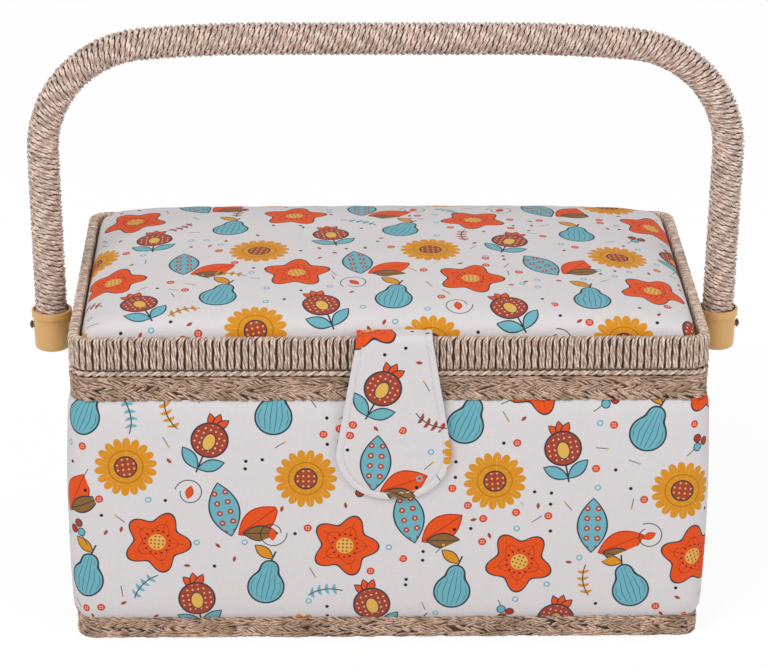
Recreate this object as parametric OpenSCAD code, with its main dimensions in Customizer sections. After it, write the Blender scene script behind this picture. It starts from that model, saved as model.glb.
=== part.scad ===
// Fabric-covered sewing case with one padded lid, a rope-wound rim,
// a buttoning flap and a rope-wound carrying handle. Millimetres, +Z up,
// front towards -Y, origin at the centre of the underside.

/* [Case] */
// Width of the lid's rim and of the case under it
case_w = 301; // [260:1:340]
// Depth of the lid's rim and of the case under it
case_d = 181; // [160:1:220]
// Height of the case up to the edge that the lid closes on
case_h = 139; // [120:1:180]
// Outer radius of the upright corners
corner_r = 10; // [8:0.5:16]
// Thickness of the wall boards
wall_t = 3; // [2.5:0.1:4]
// Thickness of the base board
base_t = 4; // [3:0.1:6]
// Thickness of the padded printed cover at the edge of a braid
cover_t = 3.3; // [2.8:0.1:4]
// Swell of the padded cover halfway up the walls
cover_swell = 2; // [0:0.1:2.4]
// Thickness of the cover where a braid is sewn over it
pressed_t = 1; // [0.6:0.1:1.4]
// Thickness of the satin lining
lining_t = 1; // [0.6:0.1:1.6]
// Thickness of the felt sheet under the base
felt_t = 1; // [0.6:0.1:2]

/* [Trims] */
// Height of the plaited band under the lid
upper_braid_h = 12; // [8:0.5:18]
// Thickness of the plaited band under the lid
upper_braid_t = 2.5; // [1.8:0.1:2.6]
// Number of rows of plait in each band
braid_rows = 2; // [1:1:3]
// Depth of the groove between the rows
braid_groove = 0.7; // [0.4:0.1:1]
// Height of the plaited band round the foot
lower_braid_h = 11; // [8:0.5:18]
// Thickness of the plaited band round the foot
lower_braid_t = 1.8; // [1.2:0.1:2]
// Diameter of the twisted cord on the top edge
edge_cord_d = 2.7; // [2:0.1:3]

/* [Lid] */
// Height of the rope-wound rim
rim_h = 16; // [14:0.5:22]
// Thickness of the rope-wound rim
rim_t = 5; // [4.8:0.1:6.5]
// Radius of the ribs that the paired strands make on the rim
rim_rib_r = 1.7; // [1.6:0.05:1.9]
// Depth of the grooves between the ribs
rim_groove = 0.9; // [0.7:0.05:0.95]
// Thickness of the rope layer on each side of the frame strip
rope_layer_t = 1.3; // [1.2:0.05:1.4]
// Radius of the rounded edges where the rope turns over the frame strip
rim_edge_r = 1.2; // [0.8:0.1:1.6]
// Distance between neighbouring ribs of the rim
rim_rib_pitch = 3.3; // [3.1:0.05:3.8]
// Thickness of the lid board
lid_board_t = 3; // [2:0.1:4]
// Height of the lid board over the bottom of the rim
lid_board_lift = 7.4; // [6:0.1:8]
// Height of the padded top over the top of the rim
crown_h = 14; // [10:0.5:17]
// Thickness of the printed cloth on the lid
lid_cloth_t = 1; // [0.6:0.1:1.5]
// Thickness of the padded lining under the lid board
lid_lining_t = 1.5; // [1:0.1:2]
// Length of the pincushion
pincushion_w = 70; // [50:1:90]
// Depth of the pincushion
pincushion_d = 46; // [34:1:60]
// Distance of the pincushion to the left of the middle
pincushion_x = -92; // [-95:1:-85]
// Thickness of the pincushion
pincushion_h = 12; // [8:0.5:14]
// Length of the gathered pocket
pocket_w = 150; // [110:1:150]
// Distance of the gathered pocket to the right of the middle
pocket_x = 52; // [48:1:56]
// Depth of the gathered pocket
pocket_d = 70; // [50:1:90]

/* [Flap] */
// Half width of the flap where it leaves the lid
flap_top_half = 17.5; // [14:0.5:22]
// Half width of the flap at its widest
flap_low_half = 27; // [24:0.5:32]
// Length of the flap below its fold
flap_drop = 81; // [70:1:90]
// Thickness of the flap
flap_t = 2; // [1.8:0.1:2.6]
// Distance of the flap's centre line to the right of the middle
flap_x = 2; // [-4:0.5:4]
// Radius of the magnet in the flap
magnet_r = 6.5; // [5:0.1:8]
// Thickness of the magnet in the flap
magnet_t = 1.3; // [1:0.1:1.5]
// Radius of the strike plate on the case
strike_r = 7; // [5:0.1:9]

/* [Handle] */
// Diameter of the handle over its winding
grip_d = 17; // [15:0.2:17.6]
// Thickness of the rope wound on the handle
grip_rope_t = 2.2; // [1.8:0.1:2.6]
// Radius of the handle's corners
bend_r = 53; // [40:1:60]
// Radius of the gentle shoulders between the corners and the top bar
shoulder_r = 700; // [400:10:900]
// Turn of each shoulder in degrees
shoulder_turn = 5; // [2:0.5:6]
// Height of the straight part of each arm over the pivot
arm_rise = 89.6; // [80:0.1:120]
// Outward lean of the arms in degrees
arm_lean = 1; // [0.5:0.1:3]
// Depth of the pivots below the top edge of the case
pivot_drop = 11; // [9:0.5:13]
// Gap between the case and the end caps
cap_gap = 3.9; // [3:0.1:6]
// Thickness of an end cap's wall round the winding
cap_wall_t = 1.2; // [1:0.1:2]
// Height of the thicker band round an end cap's mouth
cap_band_h = 3.5; // [2.5:0.1:4]
// How far that band stands out from the cap
cap_band_t = 0.7; // [0.3:0.1:0.8]
// Taper of an end cap from its mouth to its foot, on the radius
cap_taper = 1.2; // [0.8:0.1:1.6]
// Length of an end cap above the pivot
cap_above = 8.4; // [7:0.1:12]
// Length of an end cap below the pivot
cap_below = 12; // [11:0.5:16]
// Number of turns of the ridge that stands for the handle's winding
winding_turns = 150; // [100:1:160]
// Depth of the groove between the turns
winding_groove = 0.6; // [0.3:0.1:0.8]
// Radius of the pivot screws
screw_r = 1.5; // [1.2:0.1:2]

/* [Hinges] */
// Distance of each hinge's middle from the side of the case
hinge_inset = 55.5; // [40:0.5:80]
// Width of each hinge
hinge_w = 24; // [18:1:30]
// Height of each hinge leaf
leaf_h = 12; // [10:0.5:13]
// Thickness of the hinge leaves
leaf_t = 0.8; // [0.6:0.1:1]
// Outer radius of the hinge knuckles
knuckle_r = 1.8; // [1.6:0.1:2.2]
// Radius of the hinge pins
hinge_pin_r = 0.9; // [0.7:0.05:1]

/* [Fits] */
// Gap between the closed lid and the case
seam_gap = 0.5; // [0.3:0.1:0.8]
// Radial clearance of the pivot screws and hinge pins in what turns on them
running_fit = 0.1; // [0.05:0.01:0.1]
// Gap between the hanging flap and its strike plate
flap_gap = 0.3; // [0.2:0.05:0.6]
// Clearance of pieces that sit beside each other
seat_gap = 0.2; // [0.1:0.05:0.3]

/* [Hidden] */
$fn = 48;
cut = 1;

printed = "#e9e4e4";
straw = "#b9a18c";
satin = "#ece2d6";
board = "#b98d5e";
tan_plastic = "#cf9f5d";
steel = "#8f8f92";
brass = "#b89a56";
felt = "#2c2a2a";

wall_inset = 3;
board_w = case_w - 2 * wall_inset;
board_d = case_d - 2 * wall_inset;
board_r = corner_r - wall_inset;
room_w = board_w - 2 * wall_t;
room_d = board_d - 2 * wall_t;
room_r = board_r - wall_t;
pressed_w = board_w + 2 * pressed_t;
pressed_d = board_d + 2 * pressed_t;
pressed_r = board_r + pressed_t;
hem_t = 0.5;
board_top = case_h - hem_t;
floor_top = felt_t + base_t;
braid_top = case_h - edge_cord_d;
braid_low = braid_top - upper_braid_h;
foot_low = 0.4;
foot_top = foot_low + lower_braid_h;
trim_w = pressed_w + 2 * upper_braid_t;
trim_d = pressed_d + 2 * upper_braid_t;
swell_h = braid_low - foot_top;
swell_n = 8;

rim_low = case_h + seam_gap;
rim_top = rim_low + rim_h;
strip_w = case_w - 2 * rope_layer_t;
strip_d = case_d - 2 * rope_layer_t;
strip_t = rim_t - 2 * rope_layer_t;
strip_low = rim_low + rope_layer_t;
strip_top = rim_top - rope_layer_t;
well_w = case_w - 2 * rim_t;
well_d = case_d - 2 * rim_t;
well_r = corner_r - rim_t;
panel_w = well_w - 2 * seat_gap;
panel_d = well_d - 2 * seat_gap;
panel_r = well_r - seat_gap;
lid_board_low = rim_low + lid_board_lift;
lid_board_top = lid_board_low + lid_board_t;
lid_under = lid_board_low - lid_lining_t;
pad_inset = well_r * (1 - sqrt(0.5)) + seat_gap / 2;
pad_half_w = well_w / 2 - pad_inset;
pad_half_d = well_d / 2 - pad_inset;
pad_edge_z = rim_top - 3;
pad_steep = 10.5;

fold_z = rim_top + 0.4 + flap_t / 2;
flap_foot_half = 3;
flap_round_r = flap_low_half - flap_foot_half;
magnet_z = fold_z - flap_drop + flap_round_r - flap_foot_half;
strike_t = 0.8;
strike_y = -board_d / 2 - swell_at(magnet_z + strike_r);
fold_y = -board_d / 2 - swell_at(max(fold_z - flap_drop, (foot_top + braid_low) / 2)) - flap_gap - flap_t / 2;
function swell_at(z) = cover_t + cover_swell * sin(180 * (z - foot_top) / swell_h);

core_d = grip_d - 2 * grip_rope_t;
cap_top_r = grip_d / 2 + seat_gap + cap_wall_t;
cap_foot_r = cap_top_r - cap_taper;
pivot_z = case_h - pivot_drop;
pivot_x = trim_w / 2 + cap_gap + cap_top_r - 0.5;
arm_top_z = pivot_z + arm_rise;
arm_top_x = pivot_x + arm_rise * tan(arm_lean);
bend_x = arm_top_x - bend_r * cos(arm_lean);
bend_z = arm_top_z + bend_r * sin(arm_lean);
bend_turn = 90 - shoulder_turn + arm_lean;
shoulder_x = bend_x - (shoulder_r - bend_r) * sin(shoulder_turn);
shoulder_z = bend_z - (shoulder_r - bend_r) * cos(shoulder_turn);
bar_z = shoulder_z + shoulder_r;
core_foot = pivot_z - 9;
cap_floor = pivot_z - cap_below;
cap_mouth = pivot_z + cap_above;
cap_lean_gap = 0.5;
winding_foot = cap_mouth - cap_band_h + cap_lean_gap + 0.1;
cap_boss_r = 4;
nut_r = 3;
nut_t = 2.6;
washer_r = 5;
washer_t = 0.8;
screw_head_r = 2.3;
screw_head_t = 1.3;

hinge_x = case_w / 2 - hinge_inset;
leaf_y = trim_d / 2 + 0.1;
hinge_y = leaf_y + knuckle_r;
hinge_z = case_h + seam_gap / 2;
hinge_screw_r = 0.9;
hinge_screw_head_r = 1.7;
hinge_screw_head_t = 0.8;
hinge_screw_x = hinge_w / 3;
hinge_screw_rise = 8.2;
hinge_screw_len = 5;

// Plan outline with round corners.
module plan(w, d, r) {
    square([w - 2 * r, d], center = true);
    square([w, d - 2 * r], center = true);
    for (sx = [-1, 1])
        for (sy = [-1, 1])
            translate([sx * (w / 2 - r), sy * (d / 2 - r)])
                circle(r);
}

// Upright band between two plan outlines of even thickness t.
module band(w, d, r, t, low, high) {
    translate([0, 0, low])
        linear_extrude(high - low)
            difference() {
                plan(w, d, r);
                plan(w - 2 * t, d - 2 * t, r - t);
            }
}

// Flat panel that fills a plan outline.
module panel(w, d, r, low, high) {
    translate([0, 0, low])
        linear_extrude(high - low)
            plan(w, d, r);
}

// Sweeps the 2-D profile in children() round a plan outline: x = 0 lies on the
// outline and grows outwards, y is height.
module round_plan(w, d, r) {
    for (turn = [0 : 3]) {
        along = turn % 2 == 0 ? d : w;
        across = turn % 2 == 0 ? w : d;
        rotate([0, 0, 90 * turn]) {
            translate([across / 2, along / 2 - r, 0])
                rotate([90, 0, 0])
                    linear_extrude(along - 2 * r)
                        children();
            translate([across / 2 - r, along / 2 - r, 0])
                rotate_extrude(angle = 90)
                    translate([r, 0])
                        children();
        }
    }
}

// Cross-section of a plaited band: one rounded ridge for each row.
module braid_section(h, t, low) {
    row_h = h / braid_rows;
    ridge_r = (row_h * row_h / 4 + braid_groove * braid_groove) / (2 * braid_groove);
    translate([0, low])
        square([t - braid_groove, h]);
    for (i = [0 : braid_rows - 1])
        intersection() {
            translate([t - ridge_r, low + row_h * (i + 0.5)])
                circle(ridge_r, $fn = 144);
            translate([0, low + row_h * i])
                square([t, row_h]);
        }
}

// Hole or rod along X between two places.
module rod_x(r, from, to) {
    translate([from, 0, pivot_z])
        rotate([0, 90, 0])
            cylinder(r = r, h = to - from);
}

// Hole or rod along Y between two places.
module rod_y(r, x, z, from, to) {
    translate([x, from, z])
        rotate([-90, 0, 0])
            cylinder(r = r, h = to - from);
}

// Holes for both pivot screws through whatever stands at the sides.
module pivot_holes() {
    for (turn = [0, 180])
        rotate([0, 0, turn])
            rod_x(screw_r + seat_gap, room_w / 2 - 10, trim_w / 2 + 10);
}

// Holes for the hinge screws at height z.
module hinge_holes(z) {
    for (hinge = [-1, 1])
        for (side = [-1, 1])
            rod_y(hinge_screw_r + seat_gap / 2, hinge * hinge_x + side * hinge_screw_x, z,
                leaf_y - hinge_screw_len - seat_gap, leaf_y + 2);
}

module base_board() {
    color(board)
        panel(room_w, room_d, room_r, felt_t, floor_top);
}

// One straight wall board, centred, standing along X.
module wall_board(length) {
    translate([-length / 2, -wall_t, felt_t])
        cube([length, wall_t, board_top - felt_t]);
}

module front_board() {
    color(board)
        translate([0, -board_d / 2 + wall_t, 0])
            wall_board(board_w - 2 * board_r);
}

module back_board() {
    color(board)
        difference() {
            translate([0, board_d / 2, 0])
                wall_board(board_w - 2 * board_r);
            hinge_holes(hinge_z - hinge_screw_rise);
        }
}

module side_board(side) {
    color(board)
        difference() {
            translate([side * board_w / 2, 0, 0])
                rotate([0, 0, -side * 90])
                    wall_board(board_d - 2 * board_r);
            pivot_holes();
        }
}

// Quarter-round strips that join the wall boards at the corners.
module corner_strips() {
    color(board)
        for (sx = [-1, 1])
            for (sy = [-1, 1])
                translate([sx * (board_w / 2 - board_r), sy * (board_d / 2 - board_r), felt_t])
                    scale([sx, sy, 1])
                        intersection() {
                            linear_extrude(board_top - felt_t)
                                difference() {
                                    circle(board_r);
                                    circle(room_r);
                                }
                            cube([board_r, board_r, board_top - felt_t]);
                        }
}

// Printed cloth over wadding: full between the braids, pressed thin under them.
module case_cover() {
    color(printed)
        difference() {
            round_plan(board_w, board_d, board_r) {
                translate([0, felt_t])
                    square([pressed_t, braid_top - felt_t]);
                polygon(concat([[0, braid_low], [0, foot_top]],
                    [for (i = [0 : swell_n]) [cover_t + cover_swell * sin(180 * i / swell_n),
                        foot_top + swell_h * i / swell_n]]));
            }
            pivot_holes();
            hinge_holes(hinge_z - hinge_screw_rise);
            rod_y(strike_r + seat_gap, flap_x, magnet_z, strike_y - 3, strike_y + strike_t + seat_gap / 2);
        }
}

// Satin bag: floor, walls and a hem folded over the top edge.
module case_lining() {
    color(satin)
        difference() {
            union() {
                band(room_w, room_d, room_r, lining_t, floor_top, board_top);
                panel(room_w - 2 * lining_t, room_d - 2 * lining_t, room_r - lining_t,
                    floor_top, floor_top + lining_t);
                band(board_w, board_d, board_r, wall_t + lining_t, board_top, case_h);
            }
            pivot_holes();
        }
}

module upper_braid() {
    color(straw)
        difference() {
            round_plan(pressed_w, pressed_d, pressed_r)
                braid_section(upper_braid_h, upper_braid_t, braid_low);
            pivot_holes();
            hinge_holes(hinge_z - hinge_screw_rise);
        }
}

module lower_braid() {
    color(straw)
        round_plan(pressed_w, pressed_d, pressed_r)
            braid_section(lower_braid_h, lower_braid_t, foot_low);
}

// Round cord that runs round the case on the top edge.
module edge_cord() {
    half = edge_cord_d / 2;
    color(straw)
        round_plan(board_w, board_d, board_r)
            translate([half + seat_gap, braid_top + half])
                circle(half, $fn = 24);
}

module underside_felt() {
    color(felt)
        panel(board_w, board_d, board_r, 0, felt_t);
}

module strike_plate() {
    color(steel)
        rod_y(strike_r, flap_x, magnet_z, strike_y, strike_y + strike_t);
}

// Screws that carry the handle: dome head outside, shank into the cap nut.
module pivot_screws() {
    start_x = room_w / 2 - lining_t - washer_t - nut_t + 0.6;
    head_x = pivot_x + cap_top_r - seat_gap;
    dome_r = (screw_head_r * screw_head_r + screw_head_t * screw_head_t) / (2 * screw_head_t);
    color(steel)
        for (turn = [0, 180])
            rotate([0, 0, turn])
                translate([start_x, 0, pivot_z])
                    rotate([0, 90, 0])
                        rotate_extrude() {
                            square([screw_r, head_x - start_x]);
                            intersection() {
                                translate([0, head_x - start_x + screw_head_t - dome_r])
                                    circle(dome_r, $fn = 96);
                                translate([0, head_x - start_x])
                                    square([screw_head_r, screw_head_t]);
                            }
                        }
}

module pivot_spacers() {
    color(tan_plastic)
        for (turn = [0, 180])
            rotate([0, 0, turn])
                difference() {
                    rod_x(cap_boss_r, trim_w / 2 + seat_gap, trim_w / 2 + cap_gap - 0.8 - seat_gap);
                    rod_x(screw_r + seat_gap / 2, trim_w / 2 - cut, trim_w / 2 + cap_gap + cut);
                }
}

module pivot_washers() {
    inner = room_w / 2 - lining_t;
    color(steel)
        for (turn = [0, 180])
            rotate([0, 0, turn])
                difference() {
                    rod_x(washer_r, inner - washer_t, inner);
                    rod_x(screw_r + seat_gap / 2, inner - washer_t - cut, inner + cut);
                }
}

module pivot_nuts() {
    seat = room_w / 2 - lining_t - washer_t;
    color(steel)
        for (turn = [0, 180])
            rotate([0, 0, turn])
                difference() {
                    translate([seat - nut_t, 0, pivot_z])
                        rotate([0, 90, 0])
                            cylinder(r = nut_r, h = nut_t, $fn = 6);
                    rod_x(screw_r + 0.05, seat - nut_t + 0.5, seat + cut);
                }
}

// Hinge knuckle between two places along the hinge, with a bore for its pin.
module knuckle(from, to, bore_r) {
    translate([from, hinge_y, hinge_z])
        rotate([0, 90, 0])
            difference() {
                cylinder(r = knuckle_r, h = to - from);
                translate([0, 0, -cut])
                    cylinder(r = bore_r, h = to - from + 2 * cut);
            }
}

// Tongue of leaf plate that reaches one knuckle, up or down from the pin.
module knuckle_root(from, to, up) {
    reach = knuckle_r + 0.5;
    difference() {
        translate([from, leaf_y, up > 0 ? hinge_z : hinge_z - reach])
            cube([to - from, leaf_t, reach]);
        translate([from - cut, hinge_y, hinge_z])
            rotate([0, 90, 0])
                cylinder(r = knuckle_r - 0.3, h = to - from + 2 * cut);
    }
}

// Leaf plate with its two screw holes, up or down from the pin.
module leaf_plate(up) {
    near = knuckle_r + 0.5;
    difference() {
        translate([-hinge_w / 2, leaf_y, up > 0 ? hinge_z + near : hinge_z - leaf_h])
            cube([hinge_w, leaf_t, leaf_h - near]);
        for (side = [-1, 1])
            rod_y(hinge_screw_r + seat_gap / 2, side * hinge_screw_x,
                hinge_z + up * hinge_screw_rise, leaf_y - cut, leaf_y + leaf_t + cut);
    }
}

module case_leaf(side) {
    third = hinge_w / 4;
    color(brass)
        translate([side * hinge_x, 0, 0]) {
            leaf_plate(-1);
            for (end = [-hinge_w / 2, hinge_w / 2 - third]) {
                knuckle(end, end + third, hinge_pin_r + 0.02);
                knuckle_root(end, end + third, -1);
            }
        }
}

module lid_leaf(side) {
    half = hinge_w / 4 - seat_gap;
    color(brass)
        translate([side * hinge_x, 0, 0]) {
            leaf_plate(1);
            knuckle(-half, half, hinge_pin_r + running_fit);
            knuckle_root(-half, half, 1);
        }
}

module hinge_pin(side) {
    color(steel)
        translate([side * hinge_x - hinge_w / 2, hinge_y, hinge_z])
            rotate([0, 90, 0])
                cylinder(r = hinge_pin_r, h = hinge_w);
}

// Screws of both hinges on one side of the seam.
module hinge_screws(z) {
    color(brass)
        for (hinge = [-1, 1])
            for (side = [-1, 1]) {
                x = hinge * hinge_x + side * hinge_screw_x;
                rod_y(hinge_screw_r, x, z, leaf_y - hinge_screw_len, leaf_y + leaf_t);
                rod_y(hinge_screw_head_r, x, z, leaf_y + leaf_t, leaf_y + leaf_t + hinge_screw_head_t);
            }
}

module lid_frame() {
    color(board)
        difference() {
            band(strip_w, strip_d, corner_r - rope_layer_t, strip_t, strip_low, strip_top);
            hinge_holes(hinge_z + hinge_screw_rise);
        }
}

// Plan view of the ribs on the rim, one for every pair of strands.
module rim_ribs() {
    run_w = case_w - 2 * corner_r;
    run_d = case_d - 2 * corner_r;
    path_r = corner_r - rim_rib_r;
    long_n = round(run_w / rim_rib_pitch);
    short_n = round(run_d / rim_rib_pitch);
    turn_n = round(path_r * PI / 2 / rim_rib_pitch);
    for (side = [-1, 1]) {
        for (i = [0 : long_n])
            translate([(i / long_n - 0.5) * run_w, side * (case_d / 2 - rim_rib_r)])
                circle(rim_rib_r, $fn = 24);
        for (i = [0 : short_n])
            translate([side * (case_w / 2 - rim_rib_r), (i / short_n - 0.5) * run_d])
                circle(rim_rib_r, $fn = 24);
        for (end = [-1, 1])
            for (i = [1 : turn_n - 1])
                translate([side * (case_w / 2 - corner_r + path_r * sin(90 * i / turn_n)),
                        end * (case_d / 2 - corner_r + path_r * cos(90 * i / turn_n))])
                    circle(rim_rib_r, $fn = 24);
    }
}

// Rope wound round the frame strip: a ring with rounded edges, ribbed outside.
module lid_rope_winding() {
    color(straw)
        difference() {
            union() {
                round_plan(case_w, case_d, corner_r)
                    translate([-(rim_t + rim_groove) / 2, rim_low + rim_h / 2])
                        plan(rim_t - rim_groove, rim_h, rim_edge_r);
                translate([0, 0, rim_low + rim_edge_r - 0.2])
                    linear_extrude(rim_h - 2 * rim_edge_r + 0.4)
                        rim_ribs();
            }
            band(strip_w + seat_gap, strip_d + seat_gap,
                corner_r - rope_layer_t + seat_gap / 2, strip_t + seat_gap,
                strip_low - seat_gap / 2, strip_top + seat_gap / 2);
            hinge_holes(hinge_z + hinge_screw_rise);
        }
}

module lid_board() {
    color(board)
        panel(panel_w, panel_d, panel_r, lid_board_low, lid_board_top);
}

// Height of the padded top over its edge: a steep border, then a slow crown.
function border(t) = pow(1 - pow(abs(t), 14), 0.5);
function crown(u, v, steep, slow) = steep * border(u) * border(v) + slow * (1 - u * u) * (1 - v * v);
// Grid places that crowd towards the edges.
function spread(i, n) = sin(90 * (2 * i / n - 1));

// Slab between two height functions on one grid: top(u, v) and foot(u, v).
module slab(half_w, half_d, nx, ny, tops, feet) {
    row = nx + 1;
    sheet = row * (ny + 1);
    points = concat(
        [for (j = [0 : ny]) for (i = [0 : nx])
            [half_w * spread(i, nx), half_d * spread(j, ny), tops[j * row + i]]],
        [for (j = [0 : ny]) for (i = [0 : nx])
            [half_w * spread(i, nx), half_d * spread(j, ny), feet[j * row + i]]]);
    faces = concat(
        [for (j = [0 : ny - 1]) for (i = [0 : nx - 1]) let (a = j * row + i)
            each [[a, a + row + 1, a + 1], [a, a + row, a + row + 1]]],
        [for (j = [0 : ny - 1]) for (i = [0 : nx - 1]) let (a = sheet + j * row + i)
            each [[a, a + 1, a + row + 1], [a, a + row + 1, a + row]]],
        [for (i = [0 : nx - 1]) let (a = i, b = ny * row + i)
            each [[a, a + 1, sheet + a + 1], [a, sheet + a + 1, sheet + a],
                  [b, sheet + b + 1, b + 1], [b, sheet + b, sheet + b + 1]]],
        [for (j = [0 : ny - 1]) let (a = j * row, b = j * row + nx)
            each [[a, sheet + a + row, a + row], [a, sheet + a, sheet + a + row],
                  [b, b + row, sheet + b + row], [b, sheet + b + row, sheet + b]]]);
    polyhedron(points, faces);
}

pad_nx = 18;
pad_ny = 14;
lid_heights = [for (j = [0 : pad_ny]) for (i = [0 : pad_nx])
    pad_edge_z + crown(spread(i, pad_nx), spread(j, pad_ny), pad_steep,
        rim_top + crown_h - pad_edge_z - pad_steep)];

module lid_pad() {
    color(satin)
        slab(pad_half_w, pad_half_d, pad_nx, pad_ny,
            [for (z = lid_heights) z - lid_cloth_t], [for (z = lid_heights) lid_board_top]);
}

module lid_cover() {
    color(printed)
        slab(pad_half_w, pad_half_d, pad_nx, pad_ny,
            lid_heights, [for (z = lid_heights) z - lid_cloth_t]);
}

module lid_lining() {
    color(satin)
        panel(panel_w, panel_d, panel_r, lid_under, lid_board_low);
}

// Gathered pocket: cloth in even folds under the lid lining.
module lid_pocket() {
    folds = 18;
    depth = 2.4;
    wave = 0.8;
    steps = folds * 4;
    color(satin)
        translate([pocket_x, pocket_d / 2, lid_under])
            rotate([90, 0, 0])
                linear_extrude(pocket_d)
                    polygon(concat([[pocket_w / 2, 0], [-pocket_w / 2, 0]],
                        [for (i = [0 : steps]) [pocket_w * (i / steps - 0.5),
                            -depth - wave * sin(360 * folds * i / steps)]]));
}

module pincushion() {
    n = 10;
    color("#c8452b")
        translate([pincushion_x, 0, lid_under])
            slab(pincushion_w / 2, pincushion_d / 2, n, n,
                [for (j = [0 : n]) for (i = [0 : n]) 0],
                [for (j = [0 : n]) for (i = [0 : n])
                    -1.5 - crown(spread(i, n), spread(j, n), pincushion_h * 0.6, pincushion_h * 0.4 - 1.5)]);
}

// Part of the flap that lies on the rim, sewn in at the padded top.
module flap_tab() {
    back_y = -well_d / 2 + 0.6;
    front_y = fold_y + flap_t / 2 + 0.3;
    color(printed)
        translate([flap_x - flap_top_half, front_y, fold_z - flap_t / 2])
            cube([2 * flap_top_half, back_y - front_y, flap_t]);
}

// Hanging part of the flap: straight sides that widen to a round foot.
module flap_tongue() {
    foot = -flap_drop + flap_round_r;
    color(printed)
        difference() {
            union() {
                translate([flap_x, fold_y + flap_t / 2, fold_z])
                    rotate([90, 0, 0])
                        linear_extrude(flap_t) {
                            polygon([[-flap_top_half, 0], [flap_top_half, 0],
                                [flap_low_half, foot], [-flap_low_half, foot]]);
                            for (side = [-1, 1])
                                translate([side * flap_foot_half, foot])
                                    circle(flap_round_r);
                            translate([-flap_foot_half, -flap_drop])
                                square([2 * flap_foot_half, flap_round_r]);
                        }
                translate([flap_x - flap_top_half, fold_y, fold_z])
                    rotate([0, 90, 0])
                        cylinder(r = flap_t / 2, h = 2 * flap_top_half);
            }
            rod_y(magnet_r + seat_gap, flap_x, magnet_z,
                fold_y + flap_t / 2 - magnet_t - seat_gap, fold_y + flap_t);
        }
}

module flap_magnet() {
    color(steel)
        rod_y(magnet_r, flap_x, magnet_z, fold_y + flap_t / 2 - magnet_t, fold_y + flap_t / 2);
}

// Place and direction of the handle's line at distance s from the left foot.
arm_run = (arm_top_z - winding_foot) / cos(arm_lean);
bend_run = bend_r * bend_turn * PI / 180;
shoulder_run = shoulder_r * shoulder_turn * PI / 180;
half_run = arm_run + bend_run + shoulder_run + shoulder_x;
function arm_at(s) = let (z = winding_foot + s * cos(arm_lean))
    [-(pivot_x + (z - pivot_z) * tan(arm_lean)), z, -sin(arm_lean), cos(arm_lean)];
function arc_at(x, z, r, a) = [-(x + r * cos(a)), z + r * sin(a), sin(a), cos(a)];
function bar_at(s) = [s - shoulder_x, bar_z, 1, 0];
function half_at(s) = s < arm_run ? arm_at(s)
    : s < arm_run + bend_run
        ? arc_at(bend_x, bend_z, bend_r, (s - arm_run) / bend_r * 180 / PI - arm_lean)
    : s < half_run - shoulder_x
        ? arc_at(shoulder_x, shoulder_z, shoulder_r,
            90 - shoulder_turn + (s - arm_run - bend_run) / shoulder_r * 180 / PI)
    : bar_at(s - half_run + shoulder_x);
function line_at(s) = s <= half_run ? half_at(s)
    : let (p = half_at(2 * half_run - s)) [-p[0], p[1], p[2], -p[3]];

// Distances along the line where its bends are sampled.
bend_n = 12;
shoulder_n = 3;
half_stops = concat([for (i = [0 : bend_n]) arm_run + bend_run * i / bend_n],
    [for (i = [1 : shoulder_n]) arm_run + bend_run + shoulder_run * i / shoulder_n]);
line_stops = concat(half_stops,
    [for (i = [1 : len(half_stops)]) 2 * half_run - half_stops[len(half_stops) - i]]);

// Point at distance s along the line, at radius r and at corner k of a section.
function skin_at(s, r, k, sides) = let (p = line_at(s), a = 360 * (k + 0.5) / sides)
    [p[0] - p[3] * r * cos(a), r * sin(a), p[1] + p[2] * r * cos(a)];
// Rings of points at the stops, and the triangles between them, from index b on.
function rings(stops, r, sides) =
    [for (s = stops) for (k = [0 : sides - 1]) skin_at(s, r, k, sides)];
function skin(b, n, sides) = [for (i = [0 : n - 2]) for (k = [0 : sides - 1])
    let (o = b + i * sides, m = (k + 1) % sides)
        each [[o + k, o + sides + m, o + m], [o + k, o + sides + k, o + sides + m]]];

module handle_core() {
    sides = 16;
    foot = (core_foot - winding_foot) / cos(arm_lean);
    stops = concat([foot], line_stops, [2 * half_run - foot]);
    n = len(stops);
    color(board)
        difference() {
            polyhedron(rings(stops, core_d / 2, sides), concat(
                [for (f = skin(0, n, sides)) [f[0], f[2], f[1]]],
                [for (k = [1 : sides - 2])
                    each [[0, k + 1, k], [(n - 1) * sides, (n - 1) * sides + k, (n - 1) * sides + k + 1]]]));
            for (turn = [0, 180])
                rotate([0, 0, turn])
                    rod_x(screw_r + running_fit, pivot_x - core_d, pivot_x + core_d);
        }
}

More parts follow.
